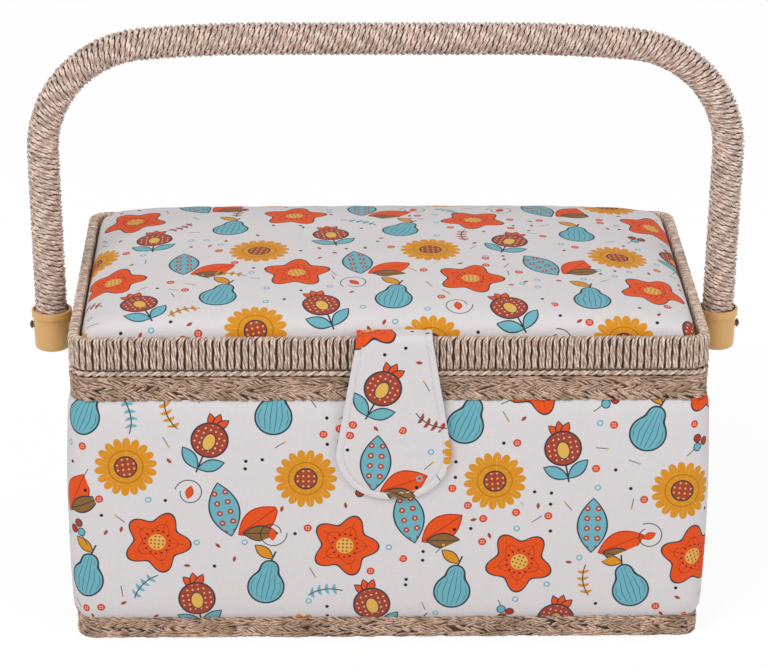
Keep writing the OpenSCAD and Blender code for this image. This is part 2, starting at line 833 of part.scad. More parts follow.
// Rope wound on the core: one unbroken ridge that climbs one pitch in each turn.
module handle_winding() {
    sides = 8;
    steps = winding_turns * sides;
    pitch = 2 * half_run / (winding_turns + 1);
    bore_r = (core_d / 2 + seat_gap) / cos(180 / sides);
    bore_stops = concat([pitch / 2], line_stops, [2 * half_run - pitch / 2]);
    groove_r = grip_d / 2 - winding_groove;
    ridge = [for (j = [0 : steps]) skin_at(pitch * j / sides, grip_d / 2, j % sides, sides)];
    groove = [for (j = [0 : steps])
        skin_at(pitch * (j / sides + 0.5), groove_r, j % sides, sides)];
    g = steps + 1;
    b = 2 * g;
    t = b + (len(bore_stops) - 1) * sides;
    color(straw)
        polyhedron(concat(ridge, groove, rings(bore_stops, bore_r, sides)), concat(
            [for (j = [0 : steps - 1])
                each [[j, j + 1, g + j + 1], [j, g + j + 1, g + j]]],
            [for (j = [0 : steps - sides - 1])
                each [[g + j, g + j + 1, j + sides + 1], [g + j, j + sides + 1, j + sides]]],
            skin(b, len(bore_stops), sides),
            [for (k = [0 : sides - 1])
                each [[k, b + (k + 1) % sides, k + 1], [k, b + k, b + (k + 1) % sides]]],
            [[0, g, sides], [0, sides, b]],
            [for (k = [0 : sides - 1]) let (o = g + steps - sides + k)
                each [[o, o + 1, t + (k + 1) % sides], [o, t + (k + 1) % sides, t + k]]],
            [[g + steps - sides, t, g + steps], [steps, g + steps - sides, g + steps]]));
}

// End cap: a tapered cup on the arm, with a boss for its pivot.
module handle_cap(turn) {
    color(tan_plastic)
        rotate([0, 0, turn])
            difference() {
                union() {
                    translate([pivot_x, 0, 0])
                        rotate_extrude()
                            cap_outline();
                    rod_x(cap_boss_r, trim_w / 2 + cap_gap - 0.8, pivot_x);
                }
                translate([pivot_x, 0, pivot_z])
                    rotate([0, arm_lean, 0]) {
                        translate([0, 0, winding_foot - pivot_z - cap_lean_gap])
                            cylinder(r = grip_d / 2 + seat_gap, h = cap_above);
                        translate([0, 0, core_foot - pivot_z - cap_lean_gap])
                            cylinder(r = core_d / 2 + seat_gap, h = cap_above + cap_below);
                    }
                rod_x(screw_r + running_fit, trim_w / 2 - cut, pivot_x + cap_top_r + cut);
            }
}

// Half profile of an end cap: rounded foot, gentle taper, thicker band at the mouth.
module cap_outline() {
    edge = 2;
    lip = 0.6;
    band_low = cap_mouth - cap_band_h;
    translate([0, cap_floor])
        square([cap_foot_r - edge, edge]);
    translate([cap_foot_r - edge, cap_floor + edge])
        circle(edge, $fn = 32);
    polygon([[0, cap_floor + edge], [cap_foot_r, cap_floor + edge],
        [cap_top_r - cap_band_t, band_low], [0, band_low]]);
    translate([0, band_low])
        square([cap_top_r, cap_band_h - lip]);
    translate([cap_top_r - lip, cap_mouth - lip])
        circle(lip, $fn = 24);
    translate([0, cap_mouth - lip])
        square([cap_top_r - lip, lip]);
}

base_board();
front_board();
back_board();
side_board(-1);  // left_board
side_board(1);  // right_board
corner_strips();
case_cover();
case_lining();
upper_braid();
lower_braid();
edge_cord();
underside_felt();
strike_plate();
pivot_screws();
pivot_spacers();
pivot_washers();
pivot_nuts();
case_leaf(-1);  // left_hinge_case_leaf
case_leaf(1);  // right_hinge_case_leaf
hinge_pin(-1);  // left_hinge_pin
hinge_pin(1);  // right_hinge_pin
hinge_screws(hinge_z - hinge_screw_rise);  // case_hinge_screws
lid_frame();
lid_rope_winding();
lid_board();
lid_pad();
lid_cover();
lid_lining();
lid_pocket();
pincushion();
lid_leaf(-1);  // left_hinge_lid_leaf
lid_leaf(1);  // right_hinge_lid_leaf
hinge_screws(hinge_z + hinge_screw_rise);  // lid_hinge_screws
flap_tab();
flap_tongue();
flap_magnet();
handle_core();
handle_winding();
handle_cap(180);  // left_handle_cap
handle_cap(0);  // right_handle_cap
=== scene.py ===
import bisect
import math
import random

import bmesh
import bpy
from mathutils import Matrix, Vector, noise


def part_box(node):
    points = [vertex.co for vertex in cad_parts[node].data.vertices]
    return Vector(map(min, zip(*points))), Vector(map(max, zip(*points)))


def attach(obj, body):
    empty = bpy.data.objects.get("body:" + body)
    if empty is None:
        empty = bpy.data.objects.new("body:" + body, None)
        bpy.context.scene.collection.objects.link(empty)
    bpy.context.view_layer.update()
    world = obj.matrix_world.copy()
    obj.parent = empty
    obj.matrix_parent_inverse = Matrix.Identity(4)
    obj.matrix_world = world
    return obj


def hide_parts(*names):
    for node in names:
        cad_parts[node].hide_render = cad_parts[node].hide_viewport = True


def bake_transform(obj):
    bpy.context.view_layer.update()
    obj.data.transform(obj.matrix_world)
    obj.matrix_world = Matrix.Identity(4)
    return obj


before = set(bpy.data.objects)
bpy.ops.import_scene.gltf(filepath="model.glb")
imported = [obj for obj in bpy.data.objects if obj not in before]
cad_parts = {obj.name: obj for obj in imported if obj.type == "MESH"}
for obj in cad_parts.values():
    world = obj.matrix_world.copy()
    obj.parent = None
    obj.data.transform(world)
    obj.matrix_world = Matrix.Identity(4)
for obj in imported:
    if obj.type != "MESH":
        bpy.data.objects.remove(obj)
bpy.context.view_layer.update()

MM = 0.001
TURN = 2 * math.pi
dice = random.Random(7)

# Sizes taken from the frame, in metres.
rim_low, rim_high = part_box("lid_rope_winding")
plait_low, plait_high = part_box("upper_braid")
foot_low, foot_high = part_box("lower_braid")
pad_low, pad_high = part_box("lid_cover")
tongue_low, tongue_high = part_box("flap_tongue")
tab_low, tab_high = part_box("flap_tab")
base_low, base_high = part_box("base_board")

# Plan outlines: width, depth and corner radius.
RIM = (rim_high.x - rim_low.x, rim_high.y - rim_low.y, 10 * MM)
BOARD = (2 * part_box("right_board")[1].x, 2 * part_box("back_board")[1].y, 7 * MM)
ROOM = (base_high.x - base_low.x, base_high.y - base_low.y, 4 * MM)
RIM_T = 5 * MM

# The flap: half of its flat foot and the radii of its round end and of its fold; the middle of the
# hanging sheet and the height of the fold; the run on the rim, the drop below the fold, the drop to
# where the round end starts, and the whole length of the cloth.
FLAP_FLAT, FLAP_ROUND, FLAP_BEND = 3 * MM, 24 * MM, 1.6 * MM
FLAP_X, HANG_Y = (tongue_low.x + tongue_high.x) / 2, (tongue_low.y + tongue_high.y) / 2
FOLD_Z = tongue_high.z - MM
FLAP_LEAD = abs(HANG_Y - tab_high.y)
FLAP_DROP = FOLD_Z - tongue_low.z
FLAP_FOOT = FLAP_DROP - FLAP_ROUND
FLAP_LENGTH = FLAP_LEAD - FLAP_BEND + FLAP_BEND * math.pi / 2 + FLAP_DROP - FLAP_BEND


# ---- colours and shader building blocks ----

def shade(red, green, blue):
    """Linear colour from the usual 0 to 255 values."""
    def one(c):
        c /= 255
        return c / 12.92 if c <= 0.04045 else ((c + 0.055) / 1.055) ** 2.4
    return (one(red), one(green), one(blue), 1.0)


def fill(tree, node, values):
    """Puts numbers, colours, Terms or sockets into a node's inputs."""
    for place, value in values.items():
        value = getattr(value, "socket", value)
        if isinstance(value, bpy.types.NodeSocket):
            tree.links.new(value, node.inputs[place])
        else:
            node.inputs[place].default_value = value


def add_node(tree, kind, values={}, **settings):
    node = tree.nodes.new("ShaderNode" + kind)
    for name, value in settings.items():
        setattr(node, name, value)
    fill(tree, node, values)
    return node


class Term:
    """A number in a node tree that can be added, multiplied and compared."""

    def __init__(self, tree, socket):
        self.tree = tree
        self.socket = socket

    def do(self, operation, *others, clamp=False):
        values = dict(enumerate((self,) + others))
        node = add_node(self.tree, "Math", values, operation=operation, use_clamp=clamp)
        return Term(self.tree, node.outputs[0])

    def __neg__(self):
        return self * -1.0

    def __rsub__(self, other):
        return self.do("MULTIPLY_ADD", -1.0, other)

    def below(self, edge, soft=0.12):
        """1 where the number is under the edge, falling to 0 over a soft step."""
        return (edge - self).do("MULTIPLY_ADD", 1 / soft, 0.5, clamp=True)

    def remap(self, low, high, out_low, out_high):
        values = {"Value": self, "From Min": low, "From Max": high, "To Min": out_low, "To Max": out_high}
        return Term(self.tree, add_node(self.tree, "MapRange", values).outputs["Result"])


for method, operation in {
        "__add__": "ADD", "__radd__": "ADD", "__sub__": "SUBTRACT", "__mul__": "MULTIPLY", "__rmul__": "MULTIPLY",
        "__truediv__": "DIVIDE", "power": "POWER", "sin": "SINE", "cos": "COSINE", "size": "ABSOLUTE",
        "fract": "FRACT", "floor": "FLOOR", "most": "MAXIMUM"}.items():
    setattr(Term, method, lambda term, *others, step=operation: term.do(step, *others))


def reach(x, y):
    """Length of the vector (x, y)."""
    return (x * x + y * y).do("SQRT")


def turned(x, y, angle):
    """(x, y) turned by an angle in radians, as a Term or a number."""
    if isinstance(angle, Term):
        c, s = angle.cos(), angle.sin()
    else:
        c, s = math.cos(angle), math.sin(angle)
    return x * c + y * s, y * c - x * s


def split(tree, socket):
    return [Term(tree, out) for out in add_node(tree, "SeparateXYZ", {0: socket}).outputs]


def joined(tree, x, y, z=0.0):
    return add_node(tree, "CombineXYZ", {0: x, 1: y, 2: z}).outputs[0]


def mixed(tree, mask, under, over):
    """Colour under where the mask is 0 and over where it is 1."""
    return add_node(tree, "Mix", {"Factor": mask, 6: under, 7: over}, data_type="RGBA").outputs[2]


def noise_at(tree, vector, scale, detail=2.0, rough=0.5):
    values = {"Vector": vector, "Scale": scale, "Detail": detail, "Roughness": rough}
    return Term(tree, add_node(tree, "TexNoise", values).outputs["Fac"])


def new_group(name, numbers, outputs):
    """Node group that takes a Vector and named numbers and puts out a colour or named numbers."""
    tree = bpy.data.node_groups.new(name, "ShaderNodeTree")

    def socket(label, way, kind):
        return tree.interface.new_socket(name=label, in_out=way, socket_type="NodeSocket" + kind)

    socket("Vector", "INPUT", "Vector")
    for label, value in numbers.items():
        socket(label, "INPUT", "Float").default_value = value
    for label in outputs:
        socket(label, "OUTPUT", "Color" if label == "Color" else "Float")
    return tree, tree.nodes.new("NodeGroupInput"), tree.nodes.new("NodeGroupOutput")


# ---- printed cloth ----

INK = {name: shade(*rgb) for name, rgb in {
    "ground": (221, 216, 217), "orange": (232, 84, 28), "deep_orange": (186, 52, 20), "ochre": (219, 146, 34),
    "deep_ochre": (190, 116, 24), "umber": (140, 100, 52), "gold": (228, 180, 88), "turquoise": (112, 178, 192),
    "teal": (52, 92, 104), "brick": (166, 70, 50), "pink": (240, 190, 170), "line": (46, 58, 68),
    "black": (34, 34, 38)}.items()}


def cells(tree, x, y, size, scatter, seed):
    """Scattered places: x and y from the nearest one, where it lies, how far, and three random numbers."""
    shift_x, shift_y = seed * 91.7, seed * 53.3
    vector = joined(tree, (x + shift_x) / size, (y + shift_y) / size)
    node = add_node(tree, "TexVoronoi", {"Vector": vector, "Scale": 1.0, "Randomness": scatter},
                    voronoi_dimensions="2D")
    px, py, _ = split(tree, node.outputs["Position"])
    rgb = add_node(tree, "SeparateColor", {0: node.outputs["Color"]})
    home_x, home_y = px * size - shift_x, py * size - shift_y
    away = Term(tree, node.outputs["Distance"]) * size
    return x - home_x, y - home_y, (home_x, home_y), away, [Term(tree, out) for out in rgb.outputs]


def leaf(x, y, length, width):
    """Below 0 inside a pointed leaf that runs along y from 0 to length."""
    t = y / length
    return (x.size() - t * (1 - t) * 4 * width).most(-y).most(y - length)


def line_mask(distance, half, soft=0.25):
    """1 on a thin line where the distance is near 0."""
    return distance.size().below(half, soft)


def dots_mask(x, y, pitch, share, soft=0.06):
    return reach((x / pitch).fract() - 0.5, (y / pitch).fract() - 0.5).below(share, soft)


def choose(number, low, high):
    """1 where a random number lies between low and high."""
    return number.below(high, 0.001) - number.below(low, 0.001)


def meadow_print():
    """Poppies, fan leaves, daisies, fruit and pears among sprigs, tendrils and dots, in millimetres of cloth."""
    tree, given, out = new_group("meadow_print", {}, ["Color"])
    x, y, _ = split(tree, given.outputs["Vector"])
    x, y = x * 1000, y * 1000
    colour = INK["ground"]

    def paint(mask, ink):
        nonlocal colour
        colour = mixed(tree, mask, colour, INK[ink])

    def outlined(shape, where, ink, edge="line", half=0.3):
        paint(shape.below(0, 0.3) * where, ink)
        paint(line_mask(shape, half) * where, edge)

    # Places of the motifs: distance between them in mm, scatter and seed, and the slope of the large ones' rows.
    large, middle, small = (39, 0.22, 1), (22, 0.5, 2), (7.6, 0.75, 3)
    slope = 0.42
    qx, qy, home, _, pick = cells(tree, *turned(x, y, slope), *large)
    qx, qy = turned(qx, qy, (pick[1] - 0.5) * 0.9 - slope)
    r = reach(qx, qy)
    angle = qy.do("ARCTAN2", qx)
    # The five kinds follow each other along the rows, two on in the next row.
    place = ((home[0] + 91.7) / 39).floor() + ((home[1] + 53.3) / 39).floor() * 2
    kind = (place / 5).fract()
    poppy, fan, daisy, fruit, pear = (choose(kind, n / 5 - 0.1, n / 5 + 0.1) for n in range(5))

    # Poppy: five broad petals, ribs, a ring of stamens and a seeded middle.
    petal = (angle * 5).cos() * 2.6 + 13.6
    paint(r.below(petal, 0.4) * poppy, "orange")
    fold = (angle * 2.5).sin().size() * r
    paint(line_mask(fold, 0.34) * r.below(13, 0.4) * poppy, "deep_orange")
    paint(line_mask(r - 8.4 - (angle * 5).cos() * 1.6, 0.22) * poppy, "deep_orange")
    paint(line_mask(r - petal, 0.42) * poppy, "line")
    stamens = reach((angle * 2.228).fract() * 2.8 - 1.4, r - 6.1).below(0.5, 0.2)
    paint(stamens * poppy, "black")
    paint(r.below(4.1, 0.3) * poppy, "gold")
    paint(dots_mask(qx, qy, 1.9, 0.26, 0.1) * r.below(3.6, 0.2) * poppy, "brick")

    # Fan: a spotted turquoise leaf before an orange one and a small brown one.
    for dx, dy, turn, length, width, ink, edge in ((3, -13, 0.85, 24, 6.6, "orange", "deep_orange"),
                                                   (5, -12, 1.5, 17, 4.2, "umber", "line"),
                                                   (0, -14, -0.3, 29, 7.4, "turquoise", "line")):
        lx, ly = turned(qx - dx, qy - dy, -turn)
        shape = leaf(lx, ly, length, width)
        paint(shape.below(0, 0.3) * fan, ink)
        if ink == "turquoise":
            paint(dots_mask(lx, ly, 5.2, 0.28) * shape.below(-0.8, 0.3) * fan, "brick")
            paint(dots_mask(lx, ly, 5.2, 0.11, 0.05) * shape.below(-0.8, 0.3) * fan, "pink")
        else:
            paint(line_mask(lx, 0.25) * shape.below(-0.6, 0.3) * fan, edge)
        paint(line_mask(shape + 0.3, 0.38) * fan, edge)

    # Daisy in ochre with a brick middle.
    rays = (angle * 9).cos().size().power(0.4) * 4.6 + 10.2
    paint(r.below(rays, 0.4) * daisy, "ochre")
    paint(((angle * 4.5).sin().size() * r).below(0.42, 0.3) * r.below(13.6, 0.3) * daisy, "gold")
    paint(line_mask(r - 8.2, 0.3) * daisy, "deep_ochre")
    paint(r.below(5.2, 0.3) * daisy, "brick")
    paint(dots_mask(qx, qy, 2.6, 0.2) * r.below(4.6, 0.3) * daisy, "gold")
    paint(line_mask(r - 5.2, 0.32) * daisy, "line")

    # Pomegranate: a dotted brick fruit with a pointed crown, on a short stalk between two leaves.
    paint(line_mask(qx, 0.42) * choose(qy, -16, -6) * fruit, "line")
    for foot, turns, length, width, ink, half in ((-14, (-0.95, 0.95), 13, 2.9, "turquoise", 0.35),
                                                  (7, (-0.6, 0.0, 0.6), 8.5, 1.9, "orange", 0.3)):
        for turn in turns:
            outlined(leaf(*turned(qx, qy - foot, -turn), length, width), fruit, ink, half=half)
    ball = reach(qx, qy - 1.5) - 8.6
    heart = reach(qx * 1.5, qy - 0.5) - 4.4
    paint(ball.below(0, 0.4) * fruit, "brick")
    paint(dots_mask(qx, qy, 2.6, 0.17, 0.08) * ball.below(-0.9, 0.3) * fruit, "pink")
    outlined(heart, fruit, "gold")
    paint(line_mask(ball, 0.4) * fruit, "line")

    # Pear in turquoise with teal ribs, a stalk and one leaf.
    body = (reach(qx, qy + 4) - 8.6).do("SMOOTH_MIN", reach(qx, qy - 6) - 4.2, 5.0)
    paint(body.below(0, 0.4) * pear, "turquoise")
    rib = (qx / (11.5 - (qy + 4).size() * 0.45) * 4).fract() - 0.5
    paint(line_mask(rib, 0.06, 0.05) * body.below(-1.4, 0.4) * pear, "teal")
    paint(line_mask(body, 0.42) * pear, "line")
    paint(line_mask(qx - (qy - 10) * 0.25, 0.45) * choose(qy, 10, 15.5) * pear, "line")
    outlined(leaf(*turned(qx - 0.6, qy - 11.5, 1.05), 11, 2.6), pear, "ochre")

    # Sprigs and tendrils where no large motif is near.
    sx, sy, home, _, pick = cells(tree, x, y, *middle)
    room = 1 - cells(tree, *turned(*home, slope), *large)[3].below(21.5, 0.01)
    sx, sy = turned(sx, sy, pick[0] * TURN)
    sprig, tendril, berry = (choose(pick[1], low, high) * room for low, high in ((0, 0.52), (0.52, 0.8), (0.8, 1.01)))
    bend = sx - sy * sy / 34
    rung = (sy + 9) / 3.6
    along = (rung.fract() - 0.5) * 3.6
    lx, ly = turned(bend.size() - 0.3, along, 0.9)
    leaves = leaf(ly, lx, 4.4, 1.1).below(0, 0.25) * sy.size().below(7.2, 0.2) * sprig
    for ink, low in (("turquoise", 0), ("brick", 0.36), ("ochre", 0.68)):
        paint(leaves * choose(pick[2], low, low + 0.34), ink)
    paint(line_mask(bend, 0.3) * sy.size().below(8.4, 0.4) * sprig, "line")
    paint(line_mask(reach(sx, sy) - 5.6 - sy.do("ARCTAN2", sx) * 0.45, 0.24) * tendril, "line")
    outlined(leaf(sx, sy + 3, 6.5, 1.7), tendril, "orange", "deep_orange", 0.25)
    for dx, dy, ink in ((-2.4, 1.6, "deep_orange"), (2.2, 2.4, "brick"), (0.2, -1.9, "turquoise")):
        outlined(reach(sx - dx, sy - dy) - 2.0, berry, ink, half=0.25)
    paint(line_mask(sx - sy * 0.2, 0.22) * choose(sy, -8.5, -3.6) * berry, "line")

    # Small rings, dots, pins and dashes in what is left.
    bx, by, home, _, pick = cells(tree, x, y, *small)
    room = 1 - cells(tree, *turned(*home, slope), *large)[3].below(17.6, 0.01)
    near = cells(tree, *home, *middle)
    far = cells(tree, *turned(*near[2], slope), *large)[3].below(21.5, 0.01)
    room = room * (1 - near[3].below(10.5, 0.01) * (1 - far))
    rr = reach(bx, by)
    button, ring, dot, pin, dash = (choose(pick[0], low, high) * room for low, high in (
        (0, 0.15), (0.15, 0.27), (0.27, 0.42), (0.42, 0.56), (0.56, 0.68)))
    paint(rr.below(1.7, 0.3) * button, "orange")
    paint(reach(bx.size() - 0.55, by.size() - 0.55).below(0.28, 0.15) * button, "ground")
    paint(line_mask(rr - 1.7, 0.22) * button, "deep_orange")
    paint(line_mask(rr - 1.2, 0.34) * ring, "turquoise")
    paint(rr.below(0.85, 0.25) * dot, "black")
    dx, dy = turned(bx, by, pick[2] * TURN)
    paint(line_mask(dy, 0.2) * dx.size().below(2.8, 0.3) * pin, "line")
    paint(reach(dx - 2.8, dy).below(0.62, 0.2) * pin, "gold")
    paint(leaf(dy, dx + 1.6, 3.4, 0.8).below(0, 0.2) * dash, "brick")

    fill(tree, out, {"Color": colour})
    return tree


def linen_weave():
    """Crossing threads with slubs: a height for the bump and a tone for the colour."""
    tree, given, out = new_group("linen_weave", {"Thread": 0.7}, ["Height", "Tone"])
    x, y, _ = split(tree, given.outputs["Vector"])
    x, y = x * 1000, y * 1000
    thread = Term(tree, given.outputs["Thread"])
    across = noise_at(tree, joined(tree, x * 0.16, y * 2.2), 1.0, 3)
    upright = noise_at(tree, joined(tree, x * 2.2, y * 0.16), 1.0, 3)
    warp = ((x / thread) * TURN + upright * 2.0).sin()
    weft = ((y / thread) * TURN + across * 2.0).sin()
    slub = across.remap(0.55, 0.75, 0, 1) + upright.remap(0.55, 0.75, 0, 1)
    fill(tree, out, {"Height": (warp * 0.25 + weft * 0.25) + slub * 0.8, "Tone": (across + upright) * 0.5})
    return tree


def two_ply():
    """Twisted strand: x runs along it in metres, y round it from 0 to 1."""
    tree, given, out = new_group("two_ply", {"Twist": 3.0}, ["Height", "Tone"])
    x, y, _ = split(tree, given.outputs["Vector"])
    x = x * 1000
    turn = x / Term(tree, given.outputs["Twist"]) + y * 2
    ply = (turn * math.pi).sin().size().power(0.6)
    fibre = noise_at(tree, joined(tree, x * 0.5, turn.fract() * 6, y * 3), 1.0, 3, 0.6)
    streak = noise_at(tree, joined(tree, x * 0.12, turn * 2.2), 1.0, 2)
    # Ply is 0 in the groove between the plies and 1 on their crests, so Tone carries painted shade in the grooves and
    # painted highlights on the crests, besides the real fibre and streak tone.
    fill(tree, out, {"Height": ply + fibre * 0.4, "Tone": ply * 0.4 + fibre * 0.4 + streak * 0.45})
    return tree


GROUPS = {"print": meadow_print(), "weave": linen_weave(), "ply": two_ply()}


def new_material(name):
    material = bpy.data.materials.new(name)
    material.use_nodes = True
    tree = material.node_tree
    return material, tree, tree.nodes["Principled BSDF"]


def coordinates(tree, kind="UV", offset=(0, 0, 0), turn=0.0, scale=(1, 1, 1)):
    source = add_node(tree, "TexCoord").outputs[kind]
    values = {"Vector": source, "Location": offset, "Rotation": (0, 0, turn), "Scale": scale}
    return add_node(tree, "Mapping", values).outputs["Vector"]


def use_group(tree, key, vector, **values):
    return add_node(tree, "Group", {"Vector": vector, **values}, node_tree=GROUPS[key]).outputs


def bumped(tree, height, distance, strength=1.0):
    values = {"Height": height, "Distance": distance, "Strength": strength}
    return add_node(tree, "Bump", values).outputs["Normal"]


def scaled_colour(tree, colour, factor):
    """A colour made lighter or darker by a number near 1."""
    grey = add_node(tree, "CombineColor", {0: factor, 1: factor, 2: factor}).outputs[0]
    return add_node(tree, "Mix", {"Factor": 1.0, 6: colour, 7: grey}, data_type="RGBA",
                    blend_type="MULTIPLY").outputs[2]


def printed_cloth(name, offset, turn=0.0):
    material, tree, shader = new_material(name)
    art = use_group(tree, "print", coordinates(tree, "UV", offset, turn))
    weave = use_group(tree, "weave", coordinates(tree), Thread=0.62)
    tone = Term(tree, weave["Tone"]).remap(0.3, 0.7, 0.95, 1.05)
    fill(tree, shader, {"Base Color": scaled_colour(tree, art["Color"], tone), "Roughness": 0.88,
                        "Specular IOR Level": 0.2, "Sheen Weight": 0.08,
                        "Normal": bumped(tree, weave["Height"], 0.09 * MM, 0.7)})
    return material


def straw_material(name, colours, along, twist, depth, rough=0.5, uneven=0.14, tint=None):
    """Twisted paper rope or straw on the piece's own UV, with some uneven colour, painted shade in the grooves
    between the plies and a painted highlight on their crests.
    """
    material, tree, shader = new_material(name)
    colour, light, groove_shade = (shade(*rgb) for rgb in colours)
    ply = use_group(tree, "ply", coordinates(tree, scale=along), Twist=twist)
    tone = Term(tree, ply["Tone"])
    at = coordinates(tree, "Object")
    patches = noise_at(tree, at, 150, 3, 0.6)
    fine = noise_at(tree, at, 700, 2)
    # Painted shade: the dark third colour where the ply tone is low, in the grooves between the plies.
    body = mixed(tree, tone.remap(0.32, 0.62, 0, 1), groove_shade, colour)
    # Painted highlight: the light second colour where the ply tone is high, on the crests of the plies.
    body = mixed(tree, (tone + fine * 0.5).remap(0.92, 1.12, 0, 1), body, light)
    body = scaled_colour(tree, body, patches.remap(0.32, 0.68, 1 - uneven, 1 + uneven))
    if tint:
        body = mixed(tree, noise_at(tree, at, 90, 2).remap(0.5, 0.66, 0, 0.55), body, shade(*tint))
    fill(tree, shader, {"Base Color": body, "Roughness": rough, "Specular IOR Level": 0.4,
                        "Normal": bumped(tree, ply["Height"], depth, 0.9)})
    return material


def plain_material(name, colour, rough, metal=0.0, spots=60, spread=0.08, bump=0.02 * MM, coat=0.0):
    """Moulded plastic, metal or board with fine uneven tone and roughness."""
    material, tree, shader = new_material(name)
    at = coordinates(tree, "Object")
    mottle = noise_at(tree, at, spots, 4, 0.6).remap(0.3, 0.7, 1 - spread, 1 + spread)
    fine = noise_at(tree, at, spots * 12, 3, 0.6)
    fill(tree, shader, {"Base Color": scaled_colour(tree, shade(*colour), mottle),
                        "Roughness": fine.remap(0.3, 0.7, rough - 0.06, rough + 0.06), "Metallic": metal,
                        "Coat Weight": coat, "Coat Roughness": 0.2, "Normal": bumped(tree, fine, bump)})
    return material


def satin_material(name, colour, thread=0.35):
    material, tree, shader = new_material(name)
    weave = use_group(tree, "weave", coordinates(tree), Thread=thread)
    tone = Term(tree, weave["Tone"]).remap(0.3, 0.7, 0.93, 1.06)
    fill(tree, shader, {"Base Color": scaled_colour(tree, shade(*colour), tone), "Roughness": 0.42,
                        "Sheen Weight": 0.25, "Normal": bumped(tree, weave["Height"], 0.04 * MM, 0.6)})
    return material


def felt_material(name, colour):
    material, tree, shader = new_material(name)
    fuzz = noise_at(tree, coordinates(tree, "Object"), 1500, 4, 0.7)
    fill(tree, shader, {"Base Color": scaled_colour(tree, shade(*colour), fuzz.remap(0.3, 0.7, 0.7, 1.4)),
                        "Roughness": 0.95, "Sheen Weight": 0.3, "Normal": bumped(tree, fuzz, 0.2 * MM)})
    return material


# Rope and straw: body colour, painted highlight on the ply crests, and painted shade in the grooves between the
# plies.
HANDLE_ROPE = ((197, 168, 153), (240, 222, 210), (104, 72, 58))
TAUPE_ROPE = ((190, 161, 143), (236, 218, 204), (88, 60, 46))
STRAW = ((150, 118, 99), (212, 182, 160), (98, 68, 52))

case_print = printed_cloth("case_print", (0.013, 0.021, 0))
lid_print = printed_cloth("lid_print", (0.164, 0.037, 0))
flap_print = printed_cloth("flap_print", (0.402, 0.247, 0), 0.35)
handle_rope = straw_material("handle_rope", HANDLE_ROPE, (13.0, 1, 1), 9, 0.1 * MM, uneven=0.2)
rim_rope = straw_material("rim_rope", TAUPE_ROPE, (0.042, 1, 1), 8, 0.2 * MM)
cord_rope = straw_material("cord_rope", TAUPE_ROPE, (0.95, 1, 1), 6, 0.1 * MM)
plait_straw = straw_material("plait_straw", STRAW, (0.009, 2, 1), 16, 0.25 * MM, rough=0.6, uneven=0.3,
                             tint=(134, 104, 66))
# Dark sheet behind the plaited stitches: painted shade in the gaps between them.
gap_shade_backing = plain_material("braid_gap_shade", (64, 42, 30), 0.9, spread=0.3)
# The lid frame's dark brown is painted shade, seen in the gaps between the rim strand pairs.
gap_shade_board = plain_material("gap_shade_board", (78, 48, 32), 0.9, spread=0.2)
tan_plastic = plain_material("tan_plastic", (224, 174, 104), 0.34, spots=25, spread=0.03, bump=0.008 * MM, coat=0.25)
bronze = plain_material("bronzed_steel", (112, 92, 66), 0.4, metal=0.9)
steel = plain_material("plated_steel", (170, 170, 172), 0.3, metal=1.0)
brass = plain_material("brass_plate", (196, 164, 96), 0.32, metal=1.0)
dull_brass = plain_material("dull_brass", (138, 112, 74), 0.5, metal=0.9)
hardboard = plain_material("hardboard", (150, 112, 74), 0.85, spots=200, spread=0.15, bump=0.06 * MM)
core_plastic = plain_material("core_plastic", (76, 52, 40), 0.7)
satin = satin_material("cream_satin", (232, 222, 206))
red_cotton = satin_material("red_cotton", (196, 66, 40), 0.6)
black_felt = felt_material("black_felt", (38, 36, 36))
white_thread = plain_material("white_thread", (214, 209, 208), 0.85)


# ---- shaping ----

def new_object(name, data):
    made = bpy.data.objects.new(name, data)
    bpy.context.scene.collection.objects.link(made)
    return made


def new_mesh(name, bm):
    mesh = bpy.data.meshes.new(name)
    bm.to_mesh(mesh)
    bm.free()
    return mesh


def add_piece(name, source, material, body, nodes=(), smooth=True):
    """Turns a bmesh or mesh into a finished piece that rides on a body."""
    mesh = new_mesh(name, source) if isinstance(source, bmesh.types.BMesh) else source
    mesh.name = name
    piece = new_object(name, mesh)
    mesh.materials.clear()
    mesh.materials.append(material)
    mesh.polygons.foreach_set("use_smooth", [smooth] * len(mesh.polygons))
    if nodes:
        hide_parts(*nodes)
    if body:
        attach(piece, body)
    return piece


def grown(plan, by):
    w, d, r = plan
    return w + 2 * by, d + 2 * by, r + by


def round_length(plan):
    w, d, r = plan
    return 2 * (w + d) - 8 * r + TURN * r


def round_place(s, plan):
    """Point and outward direction at distance s round a plan outline, from the middle of the back to the left."""
    w, d, r = plan
    cx, cy, bend = w / 2 - r, d / 2 - r, r * math.pi / 2
    for side, (start, length) in enumerate((((0, cy), cx), ((-cx, cy), 2 * cy), ((-cx, -cy), 2 * cx),
                                            ((cx, -cy), 2 * cy), ((cx, cy), cx))):
        out = Vector(((0, 1, 0), (-1, 0, 0), (0, -1, 0), (1, 0, 0), (0, 1, 0))[side])
        way = Vector((-out.y, out.x, 0))
        if s <= length + 1e-9:
            return Vector((*start, 0)) + out * r + way * s, out
        s -= length
        if s <= bend + 1e-9 and side < 4:
            angle = (side + 1) * math.pi / 2 + s / r
            out = Vector((math.cos(angle), math.sin(angle), 0))
            return Vector((*start, 0)) + way * length + out * r, out
        s -= bend
    return Vector((0, d / 2, 0)), Vector((0, 1, 0))


